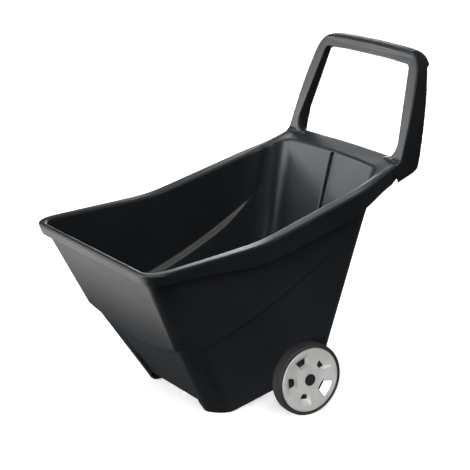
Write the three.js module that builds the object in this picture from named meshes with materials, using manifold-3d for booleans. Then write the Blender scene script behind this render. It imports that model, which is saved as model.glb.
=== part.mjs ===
// A poly garden cart: one moulded body that is tub, rim, handle and front feet in one, a steel
// axle through its underside, and two wheels. Millimetres, +Z up. It is designed with the axle
// line above y = 0, the pouring lip towards -Y and the cart's left-hand side towards +X, and the
// whole group is then moved so that its origin is the bottom centre of its bounding box.
import * as THREE from 'three';
import { mergeVertices } from 'three/addons/utils/BufferGeometryUtils.js';
import Module from 'manifold-3d';

const wasm = await Module();
wasm.setup();

// ---------------------------------------------------------------- helpers
const mix = THREE.MathUtils.lerp;
const smooth = THREE.MathUtils.smoothstep;
const softRamp = (t, blend) => blend * Math.log1p(Math.exp(t / blend));
const radians = THREE.MathUtils.degToRad;

// ---------------------------------------------------------------- driving dimensions
const size = {
  halfWidth: 297, // at the pouring lip
  lipHeight: 422, // top of the pouring lip
  handleRise: 260.6, // top of the handle above the shelf under it
};
const wide = size.halfWidth / 297; // sizes across follow the width
const gap = 0.3; // between pieces that touch
const running = 0.08; // between the wheel's bush and the axle
const wall = 4;

const rim = {
  frontY: -444, // pouring lip
  wingY: 290, // behind this the rim runs straight back as the handle's side
  shelfY: 302, // behind this the shelf under the opening is level
  rearY: 318, // rear edge of the shelf
  frontHalf: size.halfWidth,
  rearHalf: 240.5 * wide, // half width where the rim runs into the handle
  taper: 0.05, // side narrowing per millimetre of length
  tuckY: 150, // from here the rim curves in to meet the handle
  cornerX: 58, // front corner rounding, across
  cornerY: 60, // front corner rounding, along
  round: 5, // edge rounding of the top
  lipSlope: 0.08,
  kneeY: -120, // where the rail starts to climb
  kneeBlend: 18,
  climb: 0.205, // added slope behind the knee
  sweepY: 215, // where the rail sweeps up into the handle
  sweep: 0.14,
  crown: 4, // arch of the shelf
  crownLength: 52, // over which the arch grows
  widthFront: 12,
  widthCorner: 23,
  widthSide: 34,
  widthRear: 56,
  skirtFront: 30, // skirt depth at the lip
  skirtSide: 60,
  skirtEnd: 48, // where the side runs into the handle
  skirtEndFrom: 120, // the skirt changes depth between these two
  skirtEndTo: 260,
  skirtRear: 28,
  skirtDraft: 9, // how far the skirt's lower edge tucks in
};
const railHeight = (y) => {
  const at = Math.min(y, rim.shelfY);
  const lip = size.lipHeight + rim.lipSlope * (at - rim.frontY);
  const climb = rim.climb * softRamp(at - rim.kneeY, rim.kneeBlend);
  return lip + climb + rim.sweep * softRamp(at - rim.sweepY, rim.kneeBlend);
};
const shelfZ = railHeight(rim.shelfY);
const topZ = shelfZ + size.handleRise;

const step = {
  frontHeight: 0.4905 * size.lipHeight, // at the front corners
  cornerRise: 4,
  sag: 36, // drop of the front panel's curve
  rise: 0.279,
  riseGrowth: 0.00048,
  endY: 190, // behind this it stays level
  inset: 11, // how far the lower walls stand in
  drop: 13,
  fadeStart: 60, // the step runs out along the rear of the sides
  fadeLength: 120,
};
const panel = {
  // front panel: crease half width and y at the step, and how they change with height
  creaseAtStep: 212 * wide,
  creaseInset: 0.7, // share of the step's inset that moves the crease
  yAtStep: -332,
  upperLean: 0.517,
  upperSpread: 0.233,
  lowerLean: 0.6,
  lowerSpread: 0.354,
  columnDepth: 72, // length of the soft corner column along the side, at the step
  columnFoot: 61, // and at the bottom
  recess: 8, // centre panel behind the foot ribs, at the bottom
  lift: 20, // centre panel's lower edge above the ground
};
const side = {
  stepHalf: 240 * wide, // half width at the step, at stepY
  stepY: -258,
  stepTaper: 0.062,
  bottomHalf: 172 * wide, // half width at the bottom, at bottomY
  bottomY: -130,
  bottomTaper: 0.08,
};
const rear = {
  topY: 265,
  topZ: shelfZ - 11.4,
  lean: 0.235,
  bow: 8, // how far the wall's middle stands back, at the top
  column: 62, // corner rounding
  columnFoot: 43, // corner rounding at the bottom
};
// how square the plan's front corners are: 0 is a full quarter round
const elbow = { rim: 0, mouth: 0.12, walls: 0.3 };
const floor = { height: 24, kneeY: -150, slope: 0.2, thickness: 4 };
const groove = { width: 13, depth: 8, rib: 24, lowZ: 210, highZ: rear.topZ - 8 };
const foot = { rearY: -146, innerX: 118 * wide, overlap: 1.5, side: 2 };
const handle = {
  frontY: rim.wingY + 8,
  baseZ: shelfZ + 2.6,
  lean: 0.314, // front face leans back
  rearLean: 0.19,
  rearY: 354, // lower rear corner
  rearZ: shelfZ - 17.4,
  heel: 16, // chamfer under that corner
  swellLow: 5,
  swellHigh: 13,
  swellLowZ: topZ - 151,
  swellHighZ: topZ - 101,
  shoulderHalf: 212 * wide,
  shoulderZ: topZ - 51,
  openingBottomHalf: 209 * wide,
  openingTopHalf: 173 * wide,
  openingTopZ: topZ - 37,
  openingRound: 12,
  shell: 4,
  innerDepthLow: 34,
  innerDepthHigh: 22,
  ribPitch: 48,
  cornerFill: 36, // rounding at the opening's lower corners
};
const bar = {
  height: 36,
  depth: 35,
  centreZ: topZ - 18,
  arch: 4, // how far its ends drop, at archSpan from the middle
  archSpan: 170 * wide,
  square: 3, // exponent of the section's superellipse
};
const grip = {
  half: 158 * wide,
  thickness: 3,
  proud: 1.2,
  from: -62, // degrees round the bar, from the rear upwards
  to: 118,
  clip: 14, // length of the two clip legs inside the bar
  clipHalf: 5,
};
const axle = { radius: 6.35, past: 2.5, chamfer: 1 }; // `past` is how far it passes the nut
const tunnel = { height: 24, half: 20, foot: 30, endWall: 14, bays: 4 };
const boss = { reach: 31.4, radius: 20, root: 12, flare: 5 }; // `reach` is past the side wall
const wheel = {
  radius: 91,
  outerX: size.halfWidth - 6.5,
  width: 35.5,
  bead: 15.3, // tyre height
  shoulder: 9,
  crown: 0.7,
};
const hub = {
  radius: axle.radius + 8.65,
  bushRadius: axle.radius + 2.65,
  faceX: wheel.outerX - 7.5,
  length: 32,
  ribs: 10,
  ribThickness: 2.4,
  web: 3,
};
const cap = { radius: hub.radius, skin: 1.8 };
const cover = {
  radius: wheel.radius - 11,
  lip: 3.5,
  lipProud: 0.4,
  seat: 7, // its lip's depth over the core
  dish: 5,
  hole: cap.radius - 0.4,
  thickness: 2,
  windows: 5,
  clock: 22.5, // degrees round from the rear to the first window
  windowFace: 1.2, // the windows' outline is drawn this far behind the lip
  pocketFrom: 2.6, // the pocket's walls start this far behind the outline
  pocket: 15, // depth of the pocket behind each window
  through: 10, // how far a cut passes either end of a pocket
};
// a window's radii and half widths at the face, and at the back of its pocket, whose floor
// slopes in from the rim towards the hub
const windowFront = {
  inner: wheel.radius - 54, outer: wheel.radius - 25, halfInner: 12, halfOuter: 22,
};
const windowBack = {
  inner: wheel.radius - 54, outer: wheel.radius - 39, halfInner: 9, halfOuter: 13,
};
const washer = { radius: axle.radius + 7.65, outer: axle.radius + 5.15, thickness: 1.5 };
const spacer = { radius: axle.radius + 4.65 };
const nut = { radius: axle.radius + 4.65, thickness: 2.4, flange: 1 };
const round = { tyre: 40, wheel: 32, shaft: 24 }; // segments per turn

// ---------------------------------------------------------------- materials
const finish = (color, roughness, metalness = 0) =>
  new THREE.MeshStandardMaterial({ color, roughness, metalness });
const looks = {
  body: finish(0x24282c, 0.5),
  grip: finish(0x1c1f22, 0.7),
  tyre: finish(0x2b2729, 0.75),
  core: finish(0x141516, 0.5),
  silver: finish(0xc9c8c4, 0.35, 0.3),
  steel: finish(0x9ea1a3, 0.35, 0.9),
  nylon: finish(0xdcd8cc, 0.5),
};

// ---------------------------------------------------------------- building closed solids
// manifold-3d joins and cuts closed meshes
function toSolid(geometry) {
  const bare = geometry.index ? geometry.toNonIndexed() : geometry.clone();
  for (const name of Object.keys(bare.attributes)) {
    if (name !== 'position') bare.deleteAttribute(name);
  }
  const merged = mergeVertices(bare, 1e-4);
  return new wasm.Manifold(
    new wasm.Mesh({
      numProp: 3,
      vertProperties: merged.attributes.position.array,
      triVerts: new Uint32Array(merged.index.array),
    }),
  );
}

function toGeometry(solid) {
  const mesh = solid.getMesh();
  const geometry = new THREE.BufferGeometry();
  geometry.setAttribute('position', new THREE.Float32BufferAttribute(mesh.vertProperties, 3));
  geometry.setIndex(Array.from(mesh.triVerts));
  geometry.computeVertexNormals();
  return geometry;
}

const join = (first, ...others) => others.reduce((sum, other) => sum.add(other), first);

// a shape drawn in (x, z) and extruded along Y
function alongY(shape, y0, y1, curveSegments = 10) {
  const options = { depth: y1 - y0, bevelEnabled: false, curveSegments };
  const geometry = new THREE.ExtrudeGeometry(shape, options);
  return toSolid(geometry.rotateX(Math.PI / 2).translate(0, y1, 0));
}

// a shape drawn in (y, z) and extruded along X, with an optional bend that lowers its ends
function alongX(shape, x0, x1, steps = 1, bend = 0) {
  const options = { depth: x1 - x0, bevelEnabled: false, curveSegments: 8, steps };
  const geometry = new THREE.ExtrudeGeometry(shape, options);
  const place = geometry.attributes.position;
  for (let i = 0; i < place.count; i += 1) {
    const y = place.getX(i);
    const x = x0 + place.getZ(i);
    const z = place.getY(i) - bend * (x / bar.archSpan) ** 2;
    place.setXYZ(i, x, y, z);
  }
  return toSolid(geometry);
}

// a solid of revolution round the X axis; the profile is [x, radius] pairs
function aroundX(profile, segments) {
  const points = profile.map(([x, radius]) => new THREE.Vector2(radius, x));
  return new THREE.LatheGeometry(points, segments).rotateZ(-Math.PI / 2);
}

const polygon = (points) => new THREE.Shape(points.map(([a, b]) => new THREE.Vector2(a, b)));

// ---------------------------------------------------------------- rim and wall surfaces
const shelfCrown = (x, y) =>
  rim.crown *
  Math.max(0, 1 - (x / rim.rearHalf) ** 2) *
  smooth(y, rear.topY - 8 - rim.crownLength, rear.topY - 8);
const rimTop = (x, y) => railHeight(y) + shelfCrown(x, y);

const tuck = rim.frontHalf - rim.taper * (rim.wingY - rim.frontY) - rim.rearHalf;
const railHalf = (y) => {
  const along = Math.min(y, rim.wingY) - rim.frontY;
  return rim.frontHalf - rim.taper * along - tuck * smooth(y, rim.tuckY, rim.wingY);
};
const railWidth = (y) =>
  mix(rim.widthCorner, rim.widthSide, smooth(y, rim.frontY + rim.cornerY, 0));
const skirtDepth = (y) => {
  const ahead = mix(rim.skirtFront, rim.skirtSide, smooth(y, rim.frontY, 20));
  return mix(ahead, rim.skirtEnd, smooth(y, rim.skirtEndFrom, rim.skirtEndTo));
};

const stepHeight = (y) => {
  const t = Math.max(0, Math.min(y, step.endY) - (panel.yAtStep + panel.columnDepth));
  return step.frontHeight + step.cornerRise + step.rise * t + step.riseGrowth * t * t;
};
const stepFade = (y) => 1 - smooth(y, step.fadeStart, step.fadeStart + step.fadeLength);
const smile = (x) => step.frontHeight - step.sag * (1 - (x / panel.creaseAtStep) ** 2);
const rearWallY = (z) => rear.topY - rear.lean * (rear.topZ - z);
const rearBow = (z) => (rear.bow * z) / rear.topZ;
const undersideAt = (y) => floor.height + floor.slope * Math.max(0, y - floor.kneeY);

// ---------------------------------------------------------------- tub rings
// Each ring runs right round the tub: front panel, corner column, side, rear column, rear wall.
const frontStations = [0, 0.27, 0.54, 0.8, 0.84, 1];
const ribStation = 0.82; // outside this the front panel is a foot rib
const columnSteps = 7;
const sideSteps = 11;
const rearColumnSteps = 6;
const rearSteps = 4;

// a quarter turn between two points, bulging towards the corner
const quarter = (from, to, corner, t) =>
  new THREE.QuadraticBezierCurve(
    new THREE.Vector2(...from),
    new THREE.Vector2(...corner),
    new THREE.Vector2(...to),
  ).getPoint(t);

function ring(level) {
  const half = [];
  for (const f of frontStations) {
    const z = level.frontZ(f * level.creaseX);
    const x = f * (level.creaseX + level.spread * (z - level.baseZ));
    const back = f < ribStation ? level.recess : 0;
    half.push([x, level.frontY - level.lean * (z - level.baseZ) + back, z]);
  }
  const start = [level.sideX(level.sideStart), level.sideStart];
  const crease = half[half.length - 1];
  const corner = [start[0], mix(level.frontY, level.sideStart, level.elbow)];
  for (let i = 1; i <= columnSteps; i += 1) {
    const p = quarter([crease[0], crease[1]], start, corner, i / columnSteps);
    const z = mix(crease[2], level.height(p.x, p.y), smooth(i, 0, columnSteps));
    half.push([p.x, p.y, z]);
  }
  for (let i = 1; i <= sideSteps; i += 1) {
    const y = mix(level.sideStart, level.sideEnd, i / sideSteps);
    half.push([level.sideX(y), y, level.height(level.sideX(y), y)]);
  }
  const end = [level.sideX(level.sideEnd), level.sideEnd];
  const rearCrease = [end[0] - level.columnX, level.rearY];
  for (let i = 1; i <= rearColumnSteps; i += 1) {
    const p = quarter(end, rearCrease, [end[0], level.rearY], i / rearColumnSteps);
    half.push([p.x, p.y, level.height(p.x, p.y)]);
  }
  for (let i = 1; i <= rearSteps; i += 1) {
    const x = rearCrease[0] * (1 - i / rearSteps);
    const y = level.rearY + level.bow * (1 - (x / rearCrease[0]) ** 2);
    half.push([x, y, level.height(x, level.rearY)]);
  }
  const mirrored = half.slice(1, -1).reverse();
  return [...half, ...mirrored.map(([x, y, z]) => [-x, y, z])];
}

// the rim's plan, moved in by `inset` and down by `drop`, which may change round the rim
function rimRing(inset, drop) {
  const height = (x, y) => rimTop(x, y) - drop(x, y);
  return ring({
    creaseX: rim.frontHalf - rim.cornerX,
    frontY: rim.frontY + inset,
    frontZ: (x) => height(x, rim.frontY),
    baseZ: 0,
    spread: 0,
    lean: 0,
    recess: 0,
    elbow: elbow.rim,
    sideStart: rim.frontY + rim.cornerY,
    sideX: (y) => railHalf(y) - inset,
    sideEnd: rim.wingY,
    columnX: rim.rearY - inset - rim.wingY,
    bow: 0,
    rearY: rim.rearY - inset,
    height,
  });
}

// the tub's mouth, where the walls meet the rim
function mouthRing(inset, drop) {
  const height = (x, y) => rimTop(x, y) - drop;
  const frontY = rim.frontY + rim.widthFront + inset;
  return ring({
    creaseX: rim.frontHalf - rim.cornerX - inset,
    frontY,
    frontZ: (x) => height(x, frontY),
    baseZ: 0,
    spread: 0,
    lean: 0,
    recess: 0,
    elbow: elbow.mouth,
    sideStart: rim.frontY + rim.cornerY + rim.widthFront,
    sideX: (y) => railHalf(y) - railWidth(y) - inset,
    sideEnd: rear.topY - wall - rear.column,
    columnX: rear.column,
    bow: rear.bow,
    rearY: rim.rearY - rim.widthRear - inset,
    height,
  });
}

// either edge of the step; `lower` is 0 at its upper edge and 1 at its lower edge
function stepRing(lower, inset, raise) {
  const inward = (y) => lower * step.inset * stepFade(y) + inset;
  const fall = (y) => lower * step.drop * stepFade(y) - raise;
  const height = (x, y) => stepHeight(y) - fall(y);
  const baseZ = step.frontHeight - lower * step.drop + raise;
  const slopes = lower ? [panel.lowerLean, panel.lowerSpread] : [panel.upperLean, panel.upperSpread];
  const shift = panel.upperLean * (step.drop * lower - raise);
  const rearZ = stepHeight(rear.topY);
  const rearY = rearWallY(rearZ) - inset;
  return ring({
    creaseX: panel.creaseAtStep - lower * step.inset * panel.creaseInset - inset,
    frontY: panel.yAtStep + shift + lower * step.inset + inset,
    frontZ: (x) => smile(x) - lower * step.drop + raise,
    baseZ,
    spread: slopes[1],
    lean: slopes[0],
    recess: 0,
    elbow: elbow.walls,
    sideStart: panel.yAtStep + panel.columnDepth + lower * step.inset,
    sideX: (y) => side.stepHalf - side.stepTaper * (y - side.stepY) - inward(y),
    sideEnd: rearY - rear.column,
    columnX: rear.column,
    bow: rearBow(rearZ),
    rearY,
    height,
  });
}

// the lower edge of the walls, and the floor above it
function bottomRing(inset, height, frontZ, recess) {
  const stepDrop = step.frontHeight - step.drop;
  const creaseAtDrop = panel.creaseAtStep - step.inset * panel.creaseInset;
  const yAtDrop = panel.yAtStep + panel.upperLean * step.drop + step.inset;
  const frontY = yAtDrop + panel.lowerLean * stepDrop;
  const rearZ = undersideAt(rear.topY - rear.lean * rear.topZ);
  const rearY = rearWallY(rearZ) - inset;
  return ring({
    creaseX: creaseAtDrop - panel.lowerSpread * stepDrop - inset,
    frontY: frontY + inset,
    frontZ,
    baseZ: 0,
    spread: panel.lowerSpread,
    lean: panel.lowerLean,
    recess,
    elbow: elbow.walls,
    sideStart: frontY + panel.columnFoot,
    sideX: (y) => side.bottomHalf - side.bottomTaper * (y - side.bottomY) - inset,
    sideEnd: rearY - rear.columnFoot,
    columnX: rear.columnFoot,
    bow: rearBow(rearZ),
    rearY,
    height,
  });
}

// closes a stack of rings into one body, with a fan over each end
function loft(rings, firstCentre, lastCentre) {
  const count = rings[0].length;
  const points = [...rings.flat(), firstCentre, lastCentre];
  const index = [];
  for (let level = 0; level + 1 < rings.length; level += 1) {
    for (let i = 0; i < count; i += 1) {
      const next = (i + 1) % count;
      const [a, b] = [level * count + i, level * count + next];
      const [c, d] = [a + count, b + count];
      index.push(a, b, c, b, d, c);
    }
  }
  const [first, last] = [points.length - 2, points.length - 1];
  const top = (rings.length - 1) * count;
  for (let i = 0; i < count; i += 1) {
    const next = (i + 1) % count;
    index.push(first, next, i, last, top + i, top + next);
  }
  const geometry = new THREE.BufferGeometry();
  geometry.setAttribute('position', new THREE.Float32BufferAttribute(points.flat(), 3));
  geometry.setIndex(index);
  return geometry;
}

function tubShell() {
  const skirt = (x, y) =>
    mix(skirtDepth(y), rim.skirtRear, smooth(y, rim.wingY - 10, rim.rearY - 6));
  const bottomEdge = (x, y) => floor.slope * Math.max(0, y - floor.kneeY);
  const frontEdge = (x) => (x < foot.innerX ? panel.lift : 0);
  const underside = (x, y) => undersideAt(y);
  const floorTop = (x, y) => undersideAt(y) + floor.thickness;
  const rings = [
    bottomRing(wall + 1, underside, () => floor.height, panel.recess),
    bottomRing(wall, bottomEdge, frontEdge, panel.recess),
    bottomRing(0, bottomEdge, frontEdge, panel.recess),
    stepRing(1, 0, 0),
    stepRing(0, 0, 0),
    mouthRing(-wall, wall),
    rimRing(wall, () => wall),
    rimRing(wall + rim.skirtDraft, skirt),
    rimRing(rim.skirtDraft, skirt),
    rimRing(0, () => rim.round),
    rimRing(rim.round * 0.3, () => rim.round * 0.3),
    rimRing(rim.round, () => 0),
    mouthRing(0, 0),
    mouthRing(3, 4),
    stepRing(0, wall, 3),
    stepRing(1, wall, 3),
    bottomRing(wall, floorTop, () => floor.height + floor.thickness, panel.recess),
  ];
  const centreY = (rim.kneeY + rearWallY(0)) / 3;
  const under = [0, centreY, undersideAt(centreY)];
  const over = [0, centreY, undersideAt(centreY) + floor.thickness];
  return toSolid(loft(rings, under, over));
}

// ---------------------------------------------------------------- handle frame
const frontFaceY = (z) => handle.frontY + handle.lean * (z - handle.baseZ);
const rearFaceY = (z) => handle.rearY + handle.rearLean * (z - handle.rearZ);
const barCentreY = frontFaceY(bar.centreZ) + bar.depth / 2;
const behindHandle = rearFaceY(topZ) + 60;
const beforeHandle = rim.wingY - 60;
const skirtBottomAt = (y) => railHeight(y) - skirtDepth(y);

// the handle seen from the front, with its opening; `inset` shrinks the outside
function frameOutline(inset) {
  const lowZ = skirtBottomAt(rim.wingY) - 60;
  const outer = rim.rearHalf - inset;
  const shoulder = handle.shoulderHalf - inset;
  const top = topZ - inset;
  const { swellLow, swellHigh, swellLowZ, swellHighZ, shoulderZ } = handle;
  const [flat, crownX, crownZ] = [bar.archSpan - 8, shoulder - 9, top - 14];
  const shape = new THREE.Shape();
  shape.moveTo(outer, lowZ);
  shape.lineTo(outer, handle.baseZ + 8);
  shape.bezierCurveTo(
    outer - swellLow, swellLowZ, shoulder + swellHigh, swellHighZ, shoulder, shoulderZ,
  );
  shape.quadraticCurveTo(crownX, crownZ, flat, top - bar.arch);
  shape.quadraticCurveTo(bar.archSpan / 2, top, 0, top);
  shape.quadraticCurveTo(-bar.archSpan / 2, top, -flat, top - bar.arch);
  shape.quadraticCurveTo(-crownX, crownZ, -shoulder, shoulderZ);
  shape.bezierCurveTo(
    -shoulder - swellHigh, swellHighZ, swellLow - outer, swellLowZ, -outer, handle.baseZ + 8,
  );
  shape.lineTo(-outer, lowZ);
  return shape;
}

// the opening that the hands go through, open at its foot; `grow` widens it
function opening(grow) {
  const [low, high] = [handle.openingBottomHalf + grow, handle.openingTopHalf + grow];
  const head = handle.openingTopZ + grow;
  const base = handle.baseZ - 80;
  const corner = handle.openingRound;
  const shape = new THREE.Shape();
  shape.moveTo(low, base);
  shape.lineTo(low, handle.baseZ + handle.cornerFill);
  shape.lineTo(high + 2, head - corner);
  shape.quadraticCurveTo(high, head, high - corner, head);
  shape.quadraticCurveTo(bar.archSpan / 2, head + bar.arch, 0, head + bar.arch);
  shape.quadraticCurveTo(-bar.archSpan / 2, head + bar.arch, corner - high, head);
  shape.quadraticCurveTo(-high, head, -high - 2, head - corner);
  shape.lineTo(-low, handle.baseZ + handle.cornerFill);
  shape.lineTo(-low, base);
  return shape;
}

// the rounded fillings between the shelf and the foot of each upright; they lean as it does
function openingCorners() {
  const [low, fill] = [handle.openingBottomHalf, handle.cornerFill];
  const base = handle.baseZ - 2;
  const fillings = [-1, 1].map((hand) => {
    const shape = new THREE.Shape();
    shape.moveTo(hand * (low - fill), base);
    shape.quadraticCurveTo(hand * (low - 2), base, hand * low, base + fill);
    shape.lineTo(hand * (low + 8), base + fill);
    shape.lineTo(hand * (low + 8), base - 3);
    shape.lineTo(hand * (low - fill), base - 3);
    return alongY(shape, frontFaceY(base), rim.rearY - 1, 8);
  });
  return join(...fillings).warp((point) => {
    point[1] += handle.lean * (point[2] - base);
  });
}

// a point on the bar's rounded section, `offset` outside it, `degrees` from the rear upwards
function barPoint(degrees, offset) {
  const angle = radians(degrees);
  const [c, s] = [Math.cos(angle), Math.sin(angle)];
  const [a, b] = [bar.depth / 2 + offset, bar.height / 2 + offset];
  const power = 2 / bar.square;
  return [
    barCentreY + a * Math.sign(c) * Math.abs(c) ** power,
    bar.centreZ + b * Math.sign(s) * Math.abs(s) ** power,
  ];
}

function barArc(from, to, offset, count) {
  const points = [];
  for (let i = 0; i <= count; i += 1) points.push(barPoint(mix(from, to, i / count), offset));
  return points;
}

// the band of the bar's skin that the grip covers, between two offsets
const gripBand = (inner, outer, extra) =>
  polygon([
    ...barArc(grip.from - extra, grip.to + extra, outer, 10),
    ...barArc(grip.to + extra, grip.from - extra, inner, 10),
  ]);

function handleFrame() {
  const [nearY, farY] = [rim.wingY - 40, behindHandle - 20];
  const legsTop = bar.centreZ;
  const { rearY, rearZ, heel } = handle;
  const profile = polygon([
    [rim.wingY, skirtBottomAt(rim.wingY)],
    [rearY - heel, rearZ - heel],
    [rearY - heel / 4, rearZ - heel / 2],
    [rearY, rearZ],
    [rearFaceY(legsTop), legsTop],
    [frontFaceY(legsTop), legsTop],
    [handle.frontY, handle.baseZ],
    [rim.wingY, handle.baseZ - 6],
  ]);
  const outline = alongY(frameOutline(0), nearY, farY, 8);
  const legs = outline.intersect(alongX(profile, -rim.frontHalf, rim.frontHalf));
  const section = polygon(barArc(0, 360, 0, 24).slice(0, -1));
  const tube = alongX(section, -rim.frontHalf, rim.frontHalf, 16, bar.arch);
  const frame = join(legs, outline.intersect(tube)).subtract(alongY(opening(0), nearY, farY, 8));
  return join(frame, openingCorners());
}

// hollows in the back of the uprights, between cross ribs, and the notch under the shelf
function handleHollows() {
  const { shell } = handle;
  const farY = behindHandle;
  const lowZ = handle.baseZ - 40;
  const behindFront = polygon([
    [frontFaceY(lowZ) + shell + 1, lowZ],
    [frontFaceY(topZ) + shell + 1, topZ],
    [farY, topZ],
    [farY, lowZ],
  ]);
  const channel = alongY(frameOutline(shell), beforeHandle, farY, 8)
    .subtract(alongY(opening(shell), beforeHandle - 30, farY + 30, 8))
    .intersect(alongX(behindFront, -rim.frontHalf, rim.frontHalf));
  const cells = [];
  const firstZ = handle.baseZ + 14;
  const lastZ = handle.openingTopZ - 10;
  const count = Math.max(1, Math.round((lastZ - firstZ) / handle.ribPitch));
  const pitch = (lastZ - firstZ) / count;
  for (let i = 0; i < count; i += 1) {
    const z = firstZ + i * pitch;
    const slice = polygon([
      [beforeHandle, z + shell / 2],
      [farY, z + shell / 2],
      [farY, z + pitch - shell / 2],
      [beforeHandle, z + pitch - shell / 2],
    ]);
    cells.push(channel.intersect(alongX(slice, -rim.frontHalf, rim.frontHalf)));
  }
  const [coreY] = barPoint(180, -shell);
  const [, coreLow] = barPoint(270, -shell);
  const [, coreHigh] = barPoint(90, -shell - grip.thickness);
  const barCore = polygon([
    [coreY, coreLow],
    [farY, coreLow],
    [farY, coreHigh],
    [coreY, coreHigh],
  ]);
  const notch = polygon([
    [beforeHandle, 0],
    [farY, 0],
    [farY, handle.baseZ - shell],
    [beforeHandle, handle.baseZ - shell],
  ]);
  const underShelf = alongX(notch, shell - rim.rearHalf, rim.rearHalf - shell);
  const barHollow = alongX(barCore, -grip.half + 12, grip.half - 12, 12, bar.arch);
  return join(cells[0], ...cells.slice(1), underShelf, barHollow);
}

// the uprights' ribs and inner side walls are shallower than their outer side walls
function innerWallTrim() {
  const [low, high] = [handle.baseZ - handle.shell - 1, handle.openingTopZ - 6];
  const behind = polygon([
    [frontFaceY(low) + handle.innerDepthLow, low],
    [rearFaceY(low) + 20, low],
    [rearFaceY(high) + 20, high],
    [frontFaceY(high) + handle.innerDepthHigh, high],
  ]);
  const inner = alongY(frameOutline(handle.shell), beforeHandle, behindHandle, 8);
  return inner.intersect(alongX(behind, -rim.frontHalf, rim.frontHalf));
}

const gripSeat = () => {
  const end = grip.half + gap;
  return alongX(gripBand(-grip.thickness - gap, 8, 1.2), -end, end, 12, bar.arch);
};

// textured cover over the top and back of the bar, with two clip legs inside the bar
function handleGrip() {
  const skin = gripBand(-grip.thickness, grip.proud, 0);
  const shell = alongX(skin, -grip.half, grip.half, 12, bar.arch);
  const [rearY] = barPoint(0, -grip.thickness + 1);
  const [midZ, half] = [bar.centreZ - 2, grip.clipHalf];
  const legs = [-1, 1].map((hand) => {
    const leg = polygon([
      [rearY - grip.clip, midZ - half],
      [rearY, midZ - half],
      [rearY, midZ + half],
      [rearY - grip.clip, midZ + half],
    ]);
    const middle = hand * grip.half * 0.55;
    return alongX(leg, middle - half, middle + half);
  });
  return join(shell, ...legs);
}

// ---------------------------------------------------------------- axle line
const axleZ = wheel.radius;

// the raised tunnel across the floor, with a solid web where the axle passes each side
function axleTunnel() {
  const crown = axleZ + tunnel.height;
  const outer = polygon([
    [-tunnel.foot, undersideAt(-tunnel.foot) + floor.thickness / 2],
    [tunnel.foot, undersideAt(tunnel.foot) + floor.thickness / 2],
    [tunnel.half, crown],
    [-tunnel.half, crown],
  ]);
  return alongX(outer, -sideWallAtAxle() + wall / 2, sideWallAtAxle() - wall / 2);
}

const sideWallAtAxle = () => {
  const bottom = side.bottomHalf + side.bottomTaper * side.bottomY;
  const top = side.stepHalf + side.stepTaper * side.stepY - step.inset;
  const edgeZ = -floor.slope * floor.kneeY;
  const t = (axleZ - edgeZ) / (stepHeight(0) - edgeZ);
  return mix(bottom, top, t);
};

function tunnelHollows() {
  const crown = axleZ + tunnel.height;
  const inside = tunnel.foot - wall - 1;
  const springZ = undersideAt(0) - 4;
  const inner = polygon([
    [-inside, 0],
    [inside, 0],
    [inside, springZ],
    [tunnel.half - wall, crown - wall],
    [wall - tunnel.half, crown - wall],
    [-inside, springZ],
  ]);
  const end = sideWallAtAxle() - tunnel.endWall;
  const pitch = (2 * end) / tunnel.bays;
  const hollows = [];
  for (let i = 0; i < tunnel.bays; i += 1) {
    const x = -end + i * pitch;
    hollows.push(alongX(inner, x + wall / 2, x + pitch - wall / 2));
  }
  return join(...hollows);
}

const bossEnd = () => sideWallAtAxle() + boss.reach;

function axleBosses() {
  const shapes = [-1, 1].map((hand) => {
    const root = (sideWallAtAxle() - boss.root) * hand;
    const tip = bossEnd() * hand;
    const profile = [
      [root, 0],
      [root, boss.radius + boss.flare],
      [tip, boss.radius],
      [tip, 0],
    ];
    if (hand < 0) profile.reverse();
    return toSolid(aroundX(profile, round.shaft).translate(0, 0, axleZ));
  });
  return join(...shapes);
}

function rodProfile(end) {
  const { radius, chamfer } = axle;
  return [
    [-end, 0],
    [-end, radius - chamfer],
    [-end + chamfer, radius],
    [end - chamfer, radius],
    [end, radius - chamfer],
    [end, 0],
  ];
}

const axleBore = () => {
  const radius = axle.radius + gap;
  const reach = rim.frontHalf;
  const profile = [[-reach, 0], [-reach, radius], [reach, radius], [reach, 0]];
  return toSolid(aroundX(profile, round.shaft).translate(0, 0, axleZ));
};

// ---------------------------------------------------------------- details of the tub
// the upright groove down the inside of the back wall, and the rib that carries it outside
function backGroove(half, frontDepth, backDepth, lowZ, highZ) {
  const inside = (z) => rearWallY(z) + rearBow(z) - wall;
  const profile = polygon([
    [inside(lowZ) - frontDepth, lowZ],
    [inside(lowZ) + backDepth, lowZ],
    [inside(highZ) + backDepth, highZ],
    [inside(highZ) - frontDepth, highZ],
  ]);
  return alongX(profile, -half, half);
}

// solid pads that carry the front corners: the bottom's own plan, between the feet's limits
function footPads() {
  const plan = bottomRing(1, () => 0, () => 0, 0).map(([x, y]) => [x, y]);
  const options = { depth: floor.height + foot.side, bevelEnabled: false };
  const whole = toSolid(new THREE.ExtrudeGeometry(polygon(plan), options));
  const [inner, outer] = [foot.innerX - foot.overlap, side.bottomHalf];
  const pads = [-1, 1].map((hand) => {
    const block = new THREE.BoxGeometry(outer - inner, -rim.frontY + foot.rearY, size.lipHeight);
    const middle = [((outer + inner) / 2) * hand, (rim.frontY + foot.rearY) / 2, 0];
    return whole.intersect(toSolid(block.translate(...middle)));
  });
  return join(...pads);
}

function cartBody() {
  const ribTop = rear.topZ - wall; // inside the shelf's thickness
  const tub = join(
    tubShell(),
    axleTunnel(),
    axleBosses(),
    footPads(),
    backGroove(groove.rib / 2, -1, groove.depth + wall, groove.lowZ - 20, ribTop),
    handleFrame().subtract(handleHollows()).subtract(innerWallTrim()).subtract(gripSeat()),
  );
  return tub
    .subtract(tunnelHollows())
    .subtract(axleBore())
    .subtract(backGroove(groove.width / 2, 12, groove.depth, groove.lowZ, groove.highZ));
}

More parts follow.
